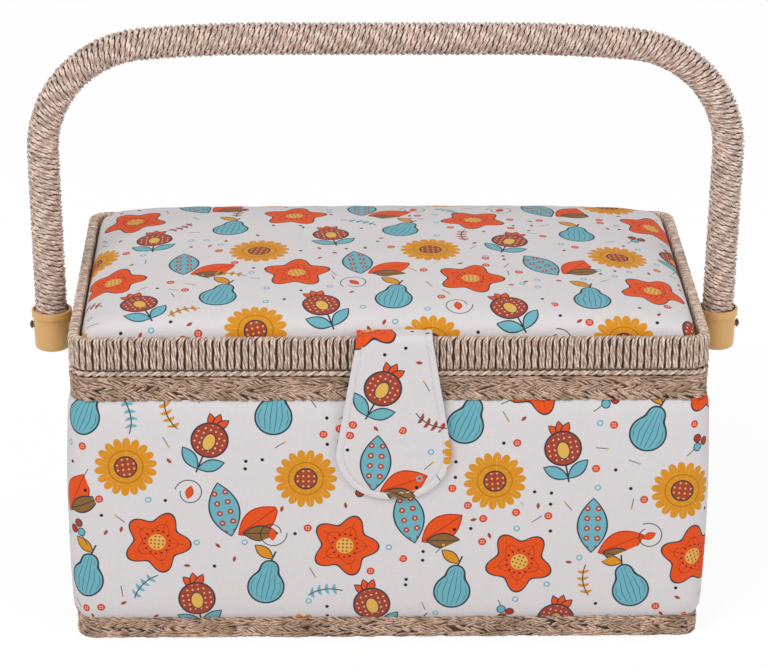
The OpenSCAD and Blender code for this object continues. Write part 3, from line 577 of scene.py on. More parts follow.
def round_distance(x, y, plan):
    """The distance round the outline at which (x, y) lies."""
    w, d, r = plan
    cx, cy, bend = w / 2 - r, d / 2 - r, r * math.pi / 2
    if abs(x) > cx and abs(y) > cy:
        angle = math.atan2(y - math.copysign(cy, y), x - math.copysign(cx, x)) % TURN
        quarter = int(angle // (math.pi / 2)) % 4
        start = (3 * cx + 3 * bend + 4 * cy, cx, cx + bend + 2 * cy, 3 * cx + 2 * bend + 2 * cy)[quarter]
        return start + r * (angle - quarter * math.pi / 2)
    if y > cy:
        return -x if x <= 0 else round_length(plan) - x
    if x <= -cx:
        return cx + bend + cy - y
    if y < -cy:
        return 2 * cx + 2 * bend + 2 * cy + x
    return 3 * cx + 3 * bend + 3 * cy + y


def off_core(co, plan):
    """How a point stands off the plan's core, which lacks the corner radius on every side."""
    w, d, r = plan
    cx, cy = w / 2 - r, d / 2 - r
    return Vector((co.x - max(-cx, min(cx, co.x)), co.y - max(-cy, min(cy, co.y)), 0))


def only(kind, made):
    return [g for g in made["geom"] if isinstance(g, kind)]


def swept_ring(section, plan, step=5 * MM, turns=8, closed=True):
    """Sweeps (outward, height) points round a plan outline by extrusions and spins."""
    w, d, r = plan
    cx, cy = w / 2 - r, d / 2 - r
    bm = bmesh.new()
    start = [bm.verts.new((0, d / 2 + out, z)) for out, z in section]
    front = start + [bm.edges.new(pair) for pair in zip(start, start[1:] + (start[:1] if closed else []))]
    for length, way, corner in ((cx, (-1, 0, 0), (-cx, cy, 0)), (2 * cy, (0, -1, 0), (-cx, -cy, 0)),
                                (2 * cx, (1, 0, 0), (cx, -cy, 0)), (2 * cy, (0, 1, 0), (cx, cy, 0)),
                                (cx, (-1, 0, 0), None)):
        count = max(1, round(length / step))
        for _ in range(count):
            made = bmesh.ops.extrude_edge_only(bm, edges=[e for e in front if isinstance(e, bmesh.types.BMEdge)])
            front = only((bmesh.types.BMVert, bmesh.types.BMEdge), made)
            bmesh.ops.translate(bm, verts=only(bmesh.types.BMVert, made), vec=Vector(way) * (length / count))
        if corner:
            front = bmesh.ops.spin(bm, geom=front, cent=corner, axis=(0, 0, 1), angle=math.pi / 2,
                                   steps=turns)["geom_last"]
    bmesh.ops.remove_doubles(bm, verts=bm.verts, dist=1e-6)
    bmesh.ops.recalc_face_normals(bm, faces=bm.faces)
    return bm


def lay_ring_uv(bm, plan):
    """UV in metres: along the outline and up."""
    layer = bm.loops.layers.uv.verify()
    whole = round_length(plan)
    for face in bm.faces:
        middle = face.calc_center_median()
        home = round_distance(middle.x, middle.y, plan)
        for loop in face.loops:
            u = round_distance(loop.vert.co.x, loop.vert.co.y, plan)
            if u - home > whole / 2:
                u -= whole
            elif home - u > whole / 2:
                u += whole
            loop[layer].uv = (u, loop.vert.co.z)


def unit_grid(columns, rows):
    """A square grid from -1 to 1 that is to be shaped, and its rim."""
    bm = bmesh.new()
    bmesh.ops.create_grid(bm, x_segments=columns, y_segments=rows, size=1.0)
    bm.loops.layers.uv.verify()
    return bm, [e for e in bm.edges if e.is_boundary]


def lay_uv(bm, place=lambda v: (v.co.x, v.co.y)):
    """UV in metres, by default as the piece is seen from above."""
    layer = bm.loops.layers.uv.verify()
    for face in bm.faces:
        for loop in face.loops:
            loop[layer].uv = place(loop.vert)


def turn_edge(bm, rim, move):
    """Extrudes edges, moves the new corners and gives the new rim."""
    made = bmesh.ops.extrude_edge_only(bm, edges=rim)
    for v in only(bmesh.types.BMVert, made):
        move(v.co)
    return [e for e in only(bmesh.types.BMEdge, made) if e.is_boundary]


def ripple(point, size, seed=0.0):
    """Smooth random number from -1 to 1 at a point."""
    return noise.noise(Vector(point) / size + Vector((seed, seed * 1.7, seed * 0.3)))


def bell(x, middle, width):
    return math.exp(-((x - middle) / width) ** 2)


def rope_mesh(paths, radius, cyclic=False, taper=None, sides=1):
    """Mesh of round strands along lists of points, thinner where taper says so."""
    curve = bpy.data.curves.new("strand", "CURVE")
    curve.dimensions = "3D"
    curve.bevel_depth = radius
    curve.bevel_resolution = sides
    curve.use_fill_caps = not cyclic
    for path in paths:
        spline = curve.splines.new("POLY")
        spline.points.add(len(path) - 1)
        spline.use_cyclic_u = cyclic
        for i, (point, place) in enumerate(zip(spline.points, path)):
            point.co = (*place, 1.0)
            if taper:
                point.radius = taper[i]
    carrier = bpy.data.objects.new("strand", curve)
    mesh = bpy.data.meshes.new_from_object(carrier)
    bpy.data.objects.remove(carrier)
    bpy.data.curves.remove(curve)
    return mesh


def twisted_cord(plan, lay, offset, strand, height, out=0.0):
    """Two strands twisted round each other, round a plan outline."""
    whole = round_length(plan)
    steps = 8
    count = round(whole / lay) * steps
    paths = []
    for ply in range(2):
        path = []
        for i in range(count):
            place, normal = round_place(whole * i / count, plan)
            angle = TURN * i / steps + ply * math.pi
            place = place + normal * (offset * math.cos(angle) + out)
            place.z = height + offset * math.sin(angle)
            path.append(place)
        paths.append(path)
    return rope_mesh(paths, strand, cyclic=True)


# ---- pieces ----

def case_cloth():
    """Padded printed cloth round the walls, tucked in under both braids."""
    low, high = foot_high.z - 2 * MM, plait_low.z + 2 * MM
    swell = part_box("case_cover")[1].x - BOARD[0] / 2
    rows = 22
    section = []
    for i in range(rows + 1):
        t = i / rows
        edge = min(1.0, min(t, 1 - t) * 18)
        puff = MM + (swell - MM) * (0.6 * math.sqrt(edge) + 0.4 * math.sin(math.pi * t))
        section.append((puff, low + (high - low) * t))
    section += [(0.4 * MM, high), (0.4 * MM, low)]
    bm = swept_ring(section, BOARD, turns=10)
    lay_ring_uv(bm, grown(BOARD, swell))
    for v in bm.verts:
        out = off_core(v.co, BOARD)
        if out.length > BOARD[2] + 1.2 * MM:
            v.co += out.normalized() * (ripple(v.co, 34 * MM) * 0.35 * MM + ripple(v.co, 9 * MM, 3) * 0.08 * MM)
    piece = add_piece("case_cloth", bm, case_print, "case", ["case_cover"])


def plait(name, node, rows, low, high, out, grain):
    """Plaited band: slanting straw stitches in rows on a dark sheet, which is painted shade in the gaps between the
    stitches.
    """
    plan = grown(BOARD, MM)
    # Dark sheet under the stitches, painted shade for the gaps between them.
    bm = swept_ring([(-0.8 * MM, low + 0.4 * MM), (out * 0.4, low + 0.4 * MM), (out * 0.4, high - 1.4 * MM),
                     (-0.8 * MM, high - 0.4 * MM)], plan, turns=6)
    lay_ring_uv(bm, plan)
    add_piece(name + "_ground", bm, gap_shade_backing, "case")

    # The stitches are laid out flat, as distance round, outward and height, and then bent round the plan.
    whole = round_length(plan)
    length, width, thick, pitch = grain
    dropped = 0.1
    paths = []
    for height, slant, shift in rows:
        count = round(whole / pitch)
        for i in range(count):
            s = (i + shift) / count * whole + dice.uniform(-0.5, 0.5) * MM
            tilt = slant + dice.uniform(-10, 10)
            bulge = out * 0.5 + dice.uniform(-0.4, 0.1) * MM
            z = low + (high - low) * height + dice.uniform(-0.5, 0.5) * MM
            for strand in (-1, 0, 1):
                if dice.random() < dropped:
                    continue
                turn = math.radians(tilt + dice.uniform(-7, 7))
                half = length / 2 * dice.uniform(0.75, 1.15)
                bow = dice.uniform(-0.7, 0.7) * MM
                side = strand * width * 0.3
                path = []
                for t in (-1, -0.7, 0, 0.7, 1):
                    arc = side + bow * (1 - t * t)
                    path.append((s + t * half * math.cos(turn) - arc * math.sin(turn),
                                 (bulge + 0.3 * MM * t - 0.35 * MM * t * t) * width / thick,
                                 z + t * half * math.sin(turn) + arc * math.cos(turn)))
                paths.append(path)
    mesh = rope_mesh(paths, width * 0.33, taper=(0.3, 0.85, 1.0, 0.85, 0.3), sides=0)
    for v in mesh.vertices:
        place, normal = round_place(v.co.x % whole, plan)
        v.co = place + normal * (v.co.y * thick / width) + Vector((0, 0, min(max(v.co.z, low), high)))
    add_piece(name, mesh, plait_straw, "case", [node])


def edge_cord():
    """Cord round the top edge of the case."""
    low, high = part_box("edge_cord")
    half = (high.z - low.z) / 2
    mesh = twisted_cord(grown(BOARD, half), 7.4 * MM, half * 0.48, half * 0.54, (low.z + high.z) / 2, 0.3 * MM)
    add_piece("edge_cord_twist", mesh, cord_rope, "case", ["edge_cord"])


def rim_strands():
    """Pairs of wavy strands wound round the lid's frame, each a closed loop over the frame, whose dark colour is
    painted shade in the gaps between the pairs.
    """
    strand = 0.66 * MM
    low, high = rim_low.z + strand, rim_high.z - strand
    outer, inner = -strand, -RIM_T + strand
    corner = 1.1 * MM
    front_rows = 7
    section = []
    for cx, cz, start in ((outer - corner, high - corner, 0), (inner + corner, high - corner, 90),
                          (inner + corner, low + corner, 180), (outer - corner, low + corner, 270)):
        for step in (0, 45, 90):
            angle = math.radians(start + step)
            section.append((cx + corner * math.cos(angle), cz + corner * math.sin(angle)))
        if start == 90:
            section.append((inner, (low + high) / 2))
        if start == 270:
            section += [(outer, low + corner + (high - low - 2 * corner) * i / front_rows)
                        for i in range(1, front_rows)]
    whole = round_length(RIM)
    pairs = round(whole / (3.3 * MM))
    # Height over which a strand sways and swells, and how far its coils lean on the inner side.
    wave, pinch, slope = 1.35 * MM, 1.3 * MM, 3.0 * MM
    paths = []
    for i in range(pairs):
        centre = whole * i / pairs + dice.uniform(-0.15, 0.15) * MM
        weave = dice.uniform(0, 6.28)
        pull = dice.uniform(0.5, 1.0)
        for side in (-1, 1):
            path = []
            wander = dice.uniform(-0.12, 0.12) * MM
            for out, z in section:
                across = (out - outer) / (inner - outer)
                sway = 0.20 * MM * pull * math.sin(z / wave + weave) * (1 - across)
                spread = side * (0.60 * MM - 0.12 * MM * math.cos(z / pinch + weave * 2) * pull)
                carried = slope * across if z > (low + high) / 2 else 0
                place, normal = round_place((centre + spread + sway + wander + carried) % whole, RIM)
                lift = 0.16 * MM * math.sin(z / wave + weave + side * 1.4) * (1 - across)
                place = place + normal * (out + lift - 0.14 * MM)
                place.z = z
                path.append(place)
            paths.append(path)
    add_piece("rim_strands", rope_mesh(paths, strand, cyclic=True), rim_rope, "lid",
              ["lid_rope_winding"])


# The handle's line: arms, corners, shoulders and bar, as the core runs.
PIVOT = Vector((164.3 * MM, 0, 128 * MM))
WINDING_FOOT = 133.5 * MM
LEAN, SHOULDER_TURN = math.radians(1), math.radians(5)
ARM_RISE, BEND_R, SHOULDER_R = 89.6 * MM, 53 * MM, 700 * MM
ARM_TOP = PIVOT + Vector((ARM_RISE * math.tan(LEAN), 0, ARM_RISE))
BEND = ARM_TOP + BEND_R * Vector((-math.cos(LEAN), 0, math.sin(LEAN)))
SHOULDER = BEND - (SHOULDER_R - BEND_R) * Vector((math.sin(SHOULDER_TURN), 0, math.cos(SHOULDER_TURN)))


def handle_line(foot):
    """Samples of the handle's line from the left foot: (length so far, point, direction)."""
    many, few = 60, 20
    start = PIVOT + Vector(((foot - PIVOT.z) * math.tan(LEAN), 0, foot - PIVOT.z))
    half = [start.lerp(ARM_TOP, i / many) for i in range(many)]
    for centre, radius, first, turn, steps in (
            (BEND, BEND_R, -LEAN, math.pi / 2 - SHOULDER_TURN + LEAN, many),
            (SHOULDER, SHOULDER_R, math.pi / 2 - SHOULDER_TURN, SHOULDER_TURN, few)):
        for i in range(steps):
            a = first + turn * i / steps
            half.append(centre + radius * Vector((math.cos(a), 0, math.sin(a))))
    half += [Vector((SHOULDER.x * (1 - i / few), 0, SHOULDER.z + SHOULDER_R)) for i in range(few)]
    left = [Vector((-p.x, 0, p.z)) for p in half]
    points = left + [Vector((0, 0, SHOULDER.z + SHOULDER_R))] + half[::-1]
    samples, run = [], 0.0
    for i, p in enumerate(points):
        if i:
            run += (p - points[i - 1]).length
        way = (points[min(i + 1, len(points) - 1)] - points[max(i - 1, 0)]).normalized()
        samples.append((run, p, way))
    return samples


def along_line(samples, s):
    i = bisect.bisect_left(samples, s, key=lambda sample: sample[0]) - 1
    i = min(max(i, 0), len(samples) - 2)
    a, b = samples[i], samples[i + 1]
    t = (s - a[0]) / (b[0] - a[0])
    return a[1].lerp(b[1], t), a[2].lerp(b[2], t).normalized()


def handle_rope_turns():
    """The rope wound on the handle: two plies twisted round each other, in one long helix."""
    samples = handle_line(WINDING_FOOT)
    whole = samples[-1][0]
    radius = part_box("handle_winding")[1].y + 0.15 * MM
    rope, ply_r, ply_off = 1.36 * MM, 0.80 * MM, 0.60 * MM
    turns = round(whole / (2.62 * MM))
    per_turn = 36
    twist = TURN * 4.3
    side = Vector((0, 1, 0))
    for ply in range(2):
        path = []
        wobble, wanted = 0.0, 0.0
        for i in range(turns * per_turn + 1):
            if i % 9 == 0:
                wanted = dice.uniform(-0.16, 0.16) * MM
            wobble += (wanted - wobble) * 0.3
            s = whole * i / (turns * per_turn)
            point, way = along_line(samples, s)
            angle = -TURN * i / per_turn
            roll = twist * i / per_turn + math.pi * ply
            out = side.cross(way) * math.cos(angle) + side * math.sin(angle)
            ends = min(1.0, s / (25 * MM), (whole - s) / (25 * MM))
            lean = (0.35 + 0.65 * ends) * (1.0 + 0.45 * ripple((s, 0, 0), 16 * MM, 3)) * 1.9 * MM
            path.append(point + out * (radius - rope + ply_off * math.cos(roll))
                        + way * (ply_off * math.sin(roll) + wobble - lean * math.cos(angle)))
        add_piece("handle_ply_%d" % ply, rope_mesh([path], ply_r), handle_rope, "handle",
                  ["handle_winding"] if ply == 0 else ())


def lid_pad_cloth():
    """Padded printed top: steep at the rim, gently crowned, with small puckers at the edge."""
    half_w, half_d = (pad_high.x - pad_low.x) / 2 + 0.5 * MM, (pad_high.y - pad_low.y) / 2 + 0.5 * MM
    edge_z, steep = rim_high.z - 3 * MM, 10.5 * MM
    crown = pad_high.z - edge_z - steep
    bm, rim = unit_grid(110, 70)

    def spread(t):
        return 0.55 * t + 0.45 * math.sin(t * math.pi / 2)

    grid = {v: (v.co.x, v.co.y) for v in bm.verts}
    for v in bm.verts:
        u, w = spread(v.co.x), spread(v.co.y)
        pull = 1 - 0.012 * (abs(u) ** 14) * (abs(w) ** 14)
        x, y = u * half_w * pull, w * half_d * pull
        border = math.sqrt(max(0.0, 1 - abs(u) ** 14)) * math.sqrt(max(0.0, 1 - abs(w) ** 14))
        near = max(abs(u) ** 10, abs(w) ** 8)
        pucker = near * 0.35 * MM * math.sin((x + y * 1.3) / (3.1 * MM) + 2.0 * ripple((x, y, 0), 20 * MM))
        soft = 0.45 * MM * ripple((x, y, 0), 42 * MM, 5) + 0.14 * MM * ripple((x, y, 0), 13 * MM, 8)
        v.co = (x, y, edge_z + crown * (1 - u * u) * (1 - w * w) + (steep + pucker + soft) * border)
    # The cloth's own length from the middle, along and across, so that the print isn't stretched on the slopes.
    flat = {}
    for axis in (0, 1):
        lines = {}
        for v in bm.verts:
            lines.setdefault(round(grid[v][1 - axis], 5), []).append(v)
        for line in lines.values():
            line.sort(key=lambda v: grid[v][axis])
            run = [0.0]
            for a, b in zip(line, line[1:]):
                run.append(run[-1] + (b.co - a.co).length)
            for v, length in zip(line, run):
                flat.setdefault(v, [0, 0])[axis] = length - run[-1] / 2
    lay_uv(bm, flat.get)

    def tuck(co):
        co.z -= 2.2 * MM

    def under(co):
        co.xy *= 0.9

    turn_edge(bm, turn_edge(bm, rim, tuck), under)
    bmesh.ops.recalc_face_normals(bm, faces=bm.faces)
    piece = add_piece("lid_pad_cloth", bm, lid_print, "lid", ["lid_cover", "lid_pad"])


def flap_half_width(drop):
    """Half width of the flap at a distance below its fold."""
    top_half, low_half = (tab_high.x - tab_low.x) / 2, FLAP_ROUND + FLAP_FLAT
    if drop <= FLAP_FOOT:
        return top_half + (low_half - top_half) * max(drop, 0) / FLAP_FOOT
    return FLAP_FLAT + math.sqrt(max(0.0, FLAP_ROUND ** 2 - (drop - FLAP_FOOT) ** 2))


def flap_edge_distance(x, drop):
    """How far a point of the flap lies inside its outline."""
    if drop <= FLAP_FOOT:
        return (flap_half_width(drop) - abs(x)) * 0.99
    return FLAP_ROUND - math.hypot(max(0.0, abs(x) - FLAP_FLAT), drop - FLAP_FOOT)


def flap_spine(t):
    """Point (y, z) on the middle sheet at length t from the back of the tab, and its outward direction."""
    bend, run, arc = FLAP_BEND, FLAP_LEAD - FLAP_BEND, FLAP_BEND * math.pi / 2
    if t < run:
        return (tab_high.y - t, FOLD_Z), (0, 1)
    if t < run + arc:
        a = (t - run) / bend
        out = (-math.sin(a), math.cos(a))
        return (HANG_Y + bend + bend * out[0], FOLD_Z - bend + bend * out[1]), out
    return (HANG_Y, FOLD_Z - bend - (t - run - arc)), (-1, 0)


def flap_stitches(thick):
    """Thread of the border, one short stitch after another."""
    top, inset, pitch = FLAP_LENGTH - FLAP_DROP, 3.0 * MM, 3.1 * MM
    bm = bmesh.new()
    outline = []
    for side in (-1, 1):
        line = []
        t = top + 1.5 * MM
        while t < FLAP_LENGTH - FLAP_ROUND:
            line.append((side * (flap_half_width(t - top) - inset), t))
            t += 0.5 * MM
        r = FLAP_ROUND - inset
        for i in range(80):
            a = math.pi / 2 * i / 79
            line.append((side * (FLAP_FLAT + r * math.cos(a)), FLAP_LENGTH - FLAP_ROUND + r * math.sin(a)))
        outline.append(line)
    line = outline[0] + outline[1][::-1]
    run = 0.0
    for (xa, ta), (xb, tb) in zip(line, line[1:]):
        before, run = run, run + math.hypot(xb - xa, tb - ta)
        if int(before / pitch) != int(run / pitch):
            way = Vector((xb - xa, 0, -(tb - ta))).normalized()
            (y, z), _ = flap_spine(ta)
            front = Vector((0, 1, 0))
            axes = (front * 0.24 * MM, front.cross(way) * 0.26 * MM, way * 1.15 * MM)
            matrix = Matrix(axes).transposed().to_4x4()
            matrix.translation = Vector((FLAP_X + xa, y - thick / 2 + 0.22 * MM, z))
            bmesh.ops.create_uvsphere(bm, u_segments=6, v_segments=5, radius=1.0, matrix=matrix, calc_uvs=True)
    bmesh.ops.recalc_face_normals(bm, faces=bm.faces)
    return bm


def flap_cloth():
    """Flap of padded cloth, from the pad over the rim and down the front, with a stitched border."""
    thick = 1.7 * MM
    top = FLAP_LENGTH - FLAP_DROP
    magnet_low, magnet_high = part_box("flap_magnet")
    magnet_drop = FOLD_Z - (magnet_low.z + magnet_high.z) / 2
    before_end = FLAP_LENGTH - FLAP_ROUND
    straight = before_end / (before_end + FLAP_ROUND * math.pi / 2)
    bm, _ = unit_grid(56, 96)
    flat = {}
    for v in bm.verts:
        a, b = v.co.x, (1 - v.co.y) / 2
        if b < straight:
            t = b / straight * before_end
        else:
            t = before_end + FLAP_ROUND * math.sin((b - straight) / (1 - straight) * math.pi / 2)
        drop = t - top
        x = flap_half_width(drop) * math.sin(a * math.pi / 2 * 0.72) / math.sin(math.pi / 2 * 0.72)
        (y, z), out = flap_spine(t)
        edge = flap_edge_distance(x, drop)
        sewn = -0.32 * MM * bell(edge, 3.0 * MM, 0.55 * MM)
        puff = 0.22 * MM * bell(edge, 1.4 * MM, MM) + 0.25 * MM * min(1.0, max(0.0, edge - 3.2 * MM) / (4 * MM))
        wave = 0.22 * MM * ripple((x, t, 0), 24 * MM, 2) * min(1.0, max(0.0, drop) / (10 * MM))
        around = math.hypot(x, drop - magnet_drop)
        ring = -0.26 * MM * bell(around, 7.6 * MM, 0.8 * MM)
        ring += 0.14 * MM * bell(around, 10 * MM, 2.2 * MM) * math.sin(7 * math.atan2(x, drop - 60 * MM))
        lift = sewn + puff + wave + ring
        flat[v] = (x, -t)
        v.co = (FLAP_X + x, y + out[0] * lift, z + out[1] * lift)
    lay_uv(bm, flat.get)
    bmesh.ops.recalc_face_normals(bm, faces=bm.faces)
    probe = min(bm.faces, key=lambda f: (f.calc_center_median() - Vector((FLAP_X, HANG_Y, 120 * MM))).length)
    if probe.normal.y > 0:
        bmesh.ops.reverse_faces(bm, faces=bm.faces)
    carrier = new_object("flap_sheet", new_mesh("flap_sheet", bm))
    wall = carrier.modifiers.new("wall", "SOLIDIFY")
    wall.thickness = thick
    wall.offset = 0.0
    soften = carrier.modifiers.new("soften", "BEVEL")
    soften.width = 0.6 * MM
    soften.segments = 3
    soften.limit_method = "ANGLE"
    soften.angle_limit = math.radians(50)
    final = bpy.data.meshes.new_from_object(carrier.evaluated_get(bpy.context.evaluated_depsgraph_get()))
    bpy.data.objects.remove(carrier)

    thread = add_piece("flap_stitches", flap_stitches(thick), white_thread, None)
    cloth = add_piece("flap_cloth", final, flap_print, None, ["flap_tab", "flap_tongue"])
    for piece in (cloth, thread):
        HANG_Y + 2.2 * MM
        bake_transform(piece)
    0.85 * 54 * MM * FLAP_LENGTH


def laid_sheet(columns, rows, place, edge=None):
    """A grid put in place point by point, with its edge turned where there is a rule for it."""
    bm, rim = unit_grid(columns, rows)
    for v in bm.verts:
        v.co = place(v.co.x, v.co.y)
    lay_uv(bm)
    if edge:
        turn_edge(bm, rim, edge)
        bmesh.ops.recalc_face_normals(bm, faces=bm.faces)
    return bm


def box_middle(name):
    """Low and high corner of a node's box, its middle, and half its width and depth."""
    low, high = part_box(name)
    return low, high, (low + high) / 2, (high.x - low.x) / 2, (high.y - low.y) / 2


def case_bag():
    """Satin bag inside the case: floor, gathered walls and a hem over the top edge."""
    low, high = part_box("case_lining")
    top, floor = high.z, low.z
    hem, wall_top = 2.6 * MM, high.z - 3 * MM
    section = [(hem, top - 0.5 * MM), (hem - 0.4 * MM, top), (-0.6 * MM, top), (-MM, top - 0.8 * MM)]
    rows = 16
    section += [(-MM, wall_top - (wall_top - floor - 1.2 * MM) * i / rows) for i in range(rows + 1)]
    bm = swept_ring(section, ROOM, step=2.2 * MM, turns=6, closed=False)
    lay_ring_uv(bm, ROOM)
    for v in bm.verts:
        if v.co.z > top - 2 * MM:
            continue
        s = round_distance(v.co.x, v.co.y, ROOM)
        fade = min(1.0, (top - v.co.z) / (12 * MM)) * min(1.0, (v.co.z - floor) / (8 * MM))
        fold = (math.sin(s / (4.4 * MM) + 2.2 * ripple((s, v.co.z, 0), 60 * MM)) * 0.5 + 0.5) * 1.3 * MM * fade
        v.co -= off_core(v.co, ROOM).normalized() * fold
    add_piece("case_bag", bm, satin, "case", ["case_lining"])

    half_w, half_d = ROOM[0] / 2 - MM, ROOM[1] / 2 - MM

    def place(a, b):
        x, y = a * half_w, b * half_d
        near = min(half_w - abs(x), half_d - abs(y))
        quilt = 0.9 * MM * (1 - math.exp(-near / (9 * MM)))
        return x, y, floor + 0.2 * MM + quilt * (0.8 + 0.2 * ripple((x, y, 0), 30 * MM, 4))

    add_piece("case_floor_satin", laid_sheet(96, 60, place), satin, "case")


def lid_satin():
    """Padded satin under the lid board, with a corded edge."""
    low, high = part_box("lid_lining")
    half_w, half_d = high.x - 0.2 * MM, high.y - 0.2 * MM

    def place(a, b):
        x, y = a * half_w, b * half_d
        near = min(half_w - abs(x), half_d - abs(y))
        puff = 1.1 * MM * (1 - math.exp(-near / (5 * MM))) + 0.12 * MM * ripple((x, y, 0), 26 * MM, 6)
        return x, y, low.z + 1.1 * MM - puff

    def edge(co):
        co.z = high.z

    piece = add_piece("lid_satin", laid_sheet(90, 56, place, edge), satin, "lid", ["lid_lining"])
    plan = (2 * half_w - 2.4 * MM, 2 * half_d - 2.4 * MM, 3 * MM)
    mesh = twisted_cord(plan, 4.4 * MM, 0.5 * MM, 0.62 * MM, low.z - 0.1 * MM)
    add_piece("lid_satin_cord", mesh, cord_rope, "lid")


def gathered_pocket():
    """Pocket of satin gathered on a band at its open side, sewn flat on the others."""
    low, high, mid, half_w, half_d = box_middle("lid_pocket")
    band = -0.84

    def place(a, b):
        x, y = mid.x + a * half_w, mid.y + b * half_d
        held = min(1.0, (1 - abs(a)) * half_w / (5 * MM))
        held *= min(1.0, (1 - b) * half_d / (4 * MM) + (0.7 if b < 0 else 0))
        wander = 2.2 * ripple((x, y, 0), 34 * MM) + 0.8 * ripple((x, y, 0), 11 * MM, 4)
        if b < band:
            fold = math.sin(a * 84 + wander) * 0.35 * MM - 0.5 * MM
        else:
            fold = math.sin(a * 56 + wander) * (0.45 + 0.55 * abs(b)) * 0.85 * MM
        belly = 1.5 * MM * math.sqrt(max(0.0, math.cos(b * math.pi / 2)))
        return x, y, high.z - 0.3 * MM - held * (1.4 * MM + belly + fold)

    def edge(co):
        co.z = high.z - 0.05 * MM

    piece = add_piece("gathered_pocket", laid_sheet(180, 40, place, edge), satin, "lid", ["lid_pocket"])


def pincushion():
    """Stuffed cushion with drawn-in sides."""
    low, high, mid, half_w, half_d = box_middle("pincushion")
    deep = high.z - low.z

    def place(a, b):
        draw_x = 1 - 0.05 * (1 - b * b) * abs(a) ** 3
        draw_y = 1 - 0.07 * (1 - a * a) * abs(b) ** 3
        x, y = mid.x + a * half_w * draw_x * 0.985, mid.y + b * half_d * draw_y * 0.985
        dome = ((1 - a ** 6) * (1 - b ** 6)) ** 0.5
        crown = 0.72 * dome + 0.28 * (1 - a * a) * (1 - b * b)
        crease = 0.25 * MM * ripple((x, y, 0), 7 * MM, 9) * (1 - dome * 0.6)
        return x, y, high.z - 2.0 * MM - (deep - 2.2 * MM) * crown + crease

    def edge(co):
        co.z = high.z - 0.1 * MM
        co.xy = mid.xy + (co.xy - mid.xy) * 0.97

    piece = add_piece("pincushion_cloth", laid_sheet(44, 32, place, edge), red_cotton, "lid",
                      ["pincushion"])


def underside():
    """Felt sheet under the case with a softly rounded edge."""
    low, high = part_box("underside_felt")
    plan = (high.x - low.x, high.y - low.y, BOARD[2])
    bm = swept_ring([(-0.4 * MM, 0.0), (0.0, 0.4 * MM), (0.0, high.z)], plan, turns=6, closed=False)
    foot = [e for e in bm.edges if e.is_boundary and all(v.co.z < 0.1 * MM for v in e.verts)]
    bmesh.ops.contextual_create(bm, geom=foot)
    bmesh.ops.contextual_create(bm, geom=[e for e in bm.edges if e.is_boundary])
    bmesh.ops.recalc_face_normals(bm, faces=bm.faces)
    add_piece("underside_sheet", bm, black_felt, "case", ["underside_felt"], smooth=False)


# Rows of stitches: height in the band, slant in degrees and shift along it. Grain: length, width, depth, pitch.
case_cloth()
plait("upper_plait", "upper_braid",
      [(0.93, 3, 0.0), (0.72, -16, 0.4), (0.48, 24, 0.5), (0.26, -22, 0.2), (0.09, -34, 0.7)],
      plait_low.z, plait_high.z, plait_high.y - BOARD[1] / 2 - MM, (8.4 * MM, 3.0 * MM, 2.2 * MM, 5.2 * MM))
plait("lower_plait", "lower_braid",
      [(0.86, -12, 0.0), (0.62, 20, 0.5), (0.38, -22, 0.2), (0.14, 12, 0.7)],
      foot_low.z, foot_high.z, foot_high.y - BOARD[1] / 2 - MM, (8.0 * MM, 3.0 * MM, 2.0 * MM, 5.0 * MM))
for make in (edge_cord, rim_strands, handle_rope_turns, lid_pad_cloth, flap_cloth, case_bag, lid_satin,
             gathered_pocket, pincushion, underside):
    make()

FINISHES = {
    hardboard: "base_board front_board back_board left_board right_board corner_strips lid_board",
    gap_shade_board: "lid_frame",
    core_plastic: "handle_core",
    tan_plastic: "left_handle_cap right_handle_cap pivot_spacers",
    bronze: "pivot_screws",
    steel: "pivot_washers pivot_nuts left_hinge_pin right_hinge_pin",
    dull_brass: "strike_plate flap_magnet",
    brass: "left_hinge_case_leaf right_hinge_case_leaf left_hinge_lid_leaf right_hinge_lid_leaf"
           " case_hinge_screws lid_hinge_screws",
}
for finish, names in FINISHES.items():
    for name in names.split():
        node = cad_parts[name]
        if not node.material_slots:
            node.data.materials.append(finish)
        for slot in node.material_slots:
            slot.material = finish


# ---- stage, lights and camera ----

def camera_ray(tree, *others):
    """1 for what the camera sees, and for what it sees by the other rays named."""
    rays = add_node(tree, "LightPath").outputs
    seen = Term(tree, rays["Is Camera Ray"])
    for other in others:
        seen = seen.most(Term(tree, rays[other]))
    return seen


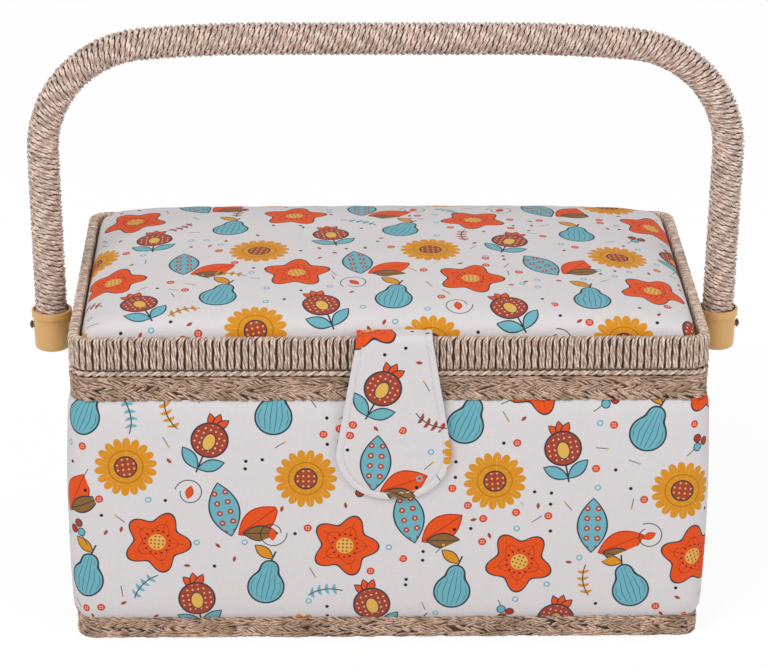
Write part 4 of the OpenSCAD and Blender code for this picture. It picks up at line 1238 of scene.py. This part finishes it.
def stage_floor():
    """White floor just under the felt, which takes the shadow."""
    bm = bmesh.new()
    bmesh.ops.create_grid(bm, x_segments=1, y_segments=1, size=30, matrix=Matrix.Translation((0, 0, -0.03 * MM)))
    floor = new_object("floor", new_mesh("floor", bm))
    material, tree, _ = new_material("floor_white")
    tree.nodes.clear()
    dull = add_node(tree, "BsdfDiffuse", {"Color": (0.86, 0.86, 0.86, 1)})
    glow = add_node(tree, "Emission", {"Color": (1, 1, 1, 1), "Strength": 1.05})
    seen = camera_ray(tree, "Is Glossy Ray", "Is Transmission Ray")
    mix = add_node(tree, "MixShader", {0: seen * 0.85, 1: dull.outputs[0], 2: glow.outputs[0]})
    add_node(tree, "OutputMaterial", {"Surface": mix.outputs[0]})
    floor.data.materials.append(material)


def soft_light(name, place, aim, size, power):
    light = bpy.data.lights.new(name, "AREA")
    light.shape = "RECTANGLE"
    light.size, light.size_y = size
    light.energy = power
    lamp = new_object(name, light)
    lamp.location = place
    lamp.rotation_euler = (Vector(aim) - Vector(place)).to_track_quat("-Z", "Y").to_euler()


def light_the_room():
    world = bpy.data.worlds.new("studio")
    bpy.context.scene.world = world
    world.use_nodes = True
    tree = world.node_tree
    fill(tree, tree.nodes["Background"], {"Color": (1, 1, 1, 1), "Strength": camera_ray(tree).remap(0, 1, 0.5, 1.0)})
    soft_light("key", (-0.9, -1.3, 1.7), (0, 0, 0.12), (1.2, 1.0), 20)
    soft_light("fill", (1.5, -1.1, 0.9), (0, 0, 0.12), (1.2, 1.2), 8)
    soft_light("top", (0.1, 0.5, 2.0), (0, 0, 0.1), (1.6, 1.6), 4)
    bpy.context.scene.view_settings.view_transform = "Standard"


def place_camera():
    """Camera at the photograph's place: right, up and forward from its yaw, pitch and roll."""
    focal_pixels, image_width = 3234, 768
    data = bpy.data.cameras.new("camera")
    data.sensor_width = 36
    data.lens = focal_pixels / image_width * data.sensor_width
    data.clip_end = 50
    camera = new_object("camera", data)
    yaw, pitch, roll = (math.radians(a) for a in (-1.418, 21.49, 0.374))
    level_right = Vector((math.cos(yaw), math.sin(yaw), 0))
    forward = Vector((-math.sin(yaw) * math.cos(pitch), math.cos(yaw) * math.cos(pitch), -math.sin(pitch)))
    level_up = level_right.cross(forward)
    right = level_right * math.cos(roll) + level_up * math.sin(roll)
    up = level_up * math.cos(roll) - level_right * math.sin(roll)
    matrix = Matrix((right, up, -forward)).transposed().to_4x4()
    matrix.translation = Vector((-37.5, -1488.7, 709.1)) * MM
    camera.matrix_world = matrix
    bpy.context.scene.camera = camera


stage_floor()
light_the_room()
place_camera()
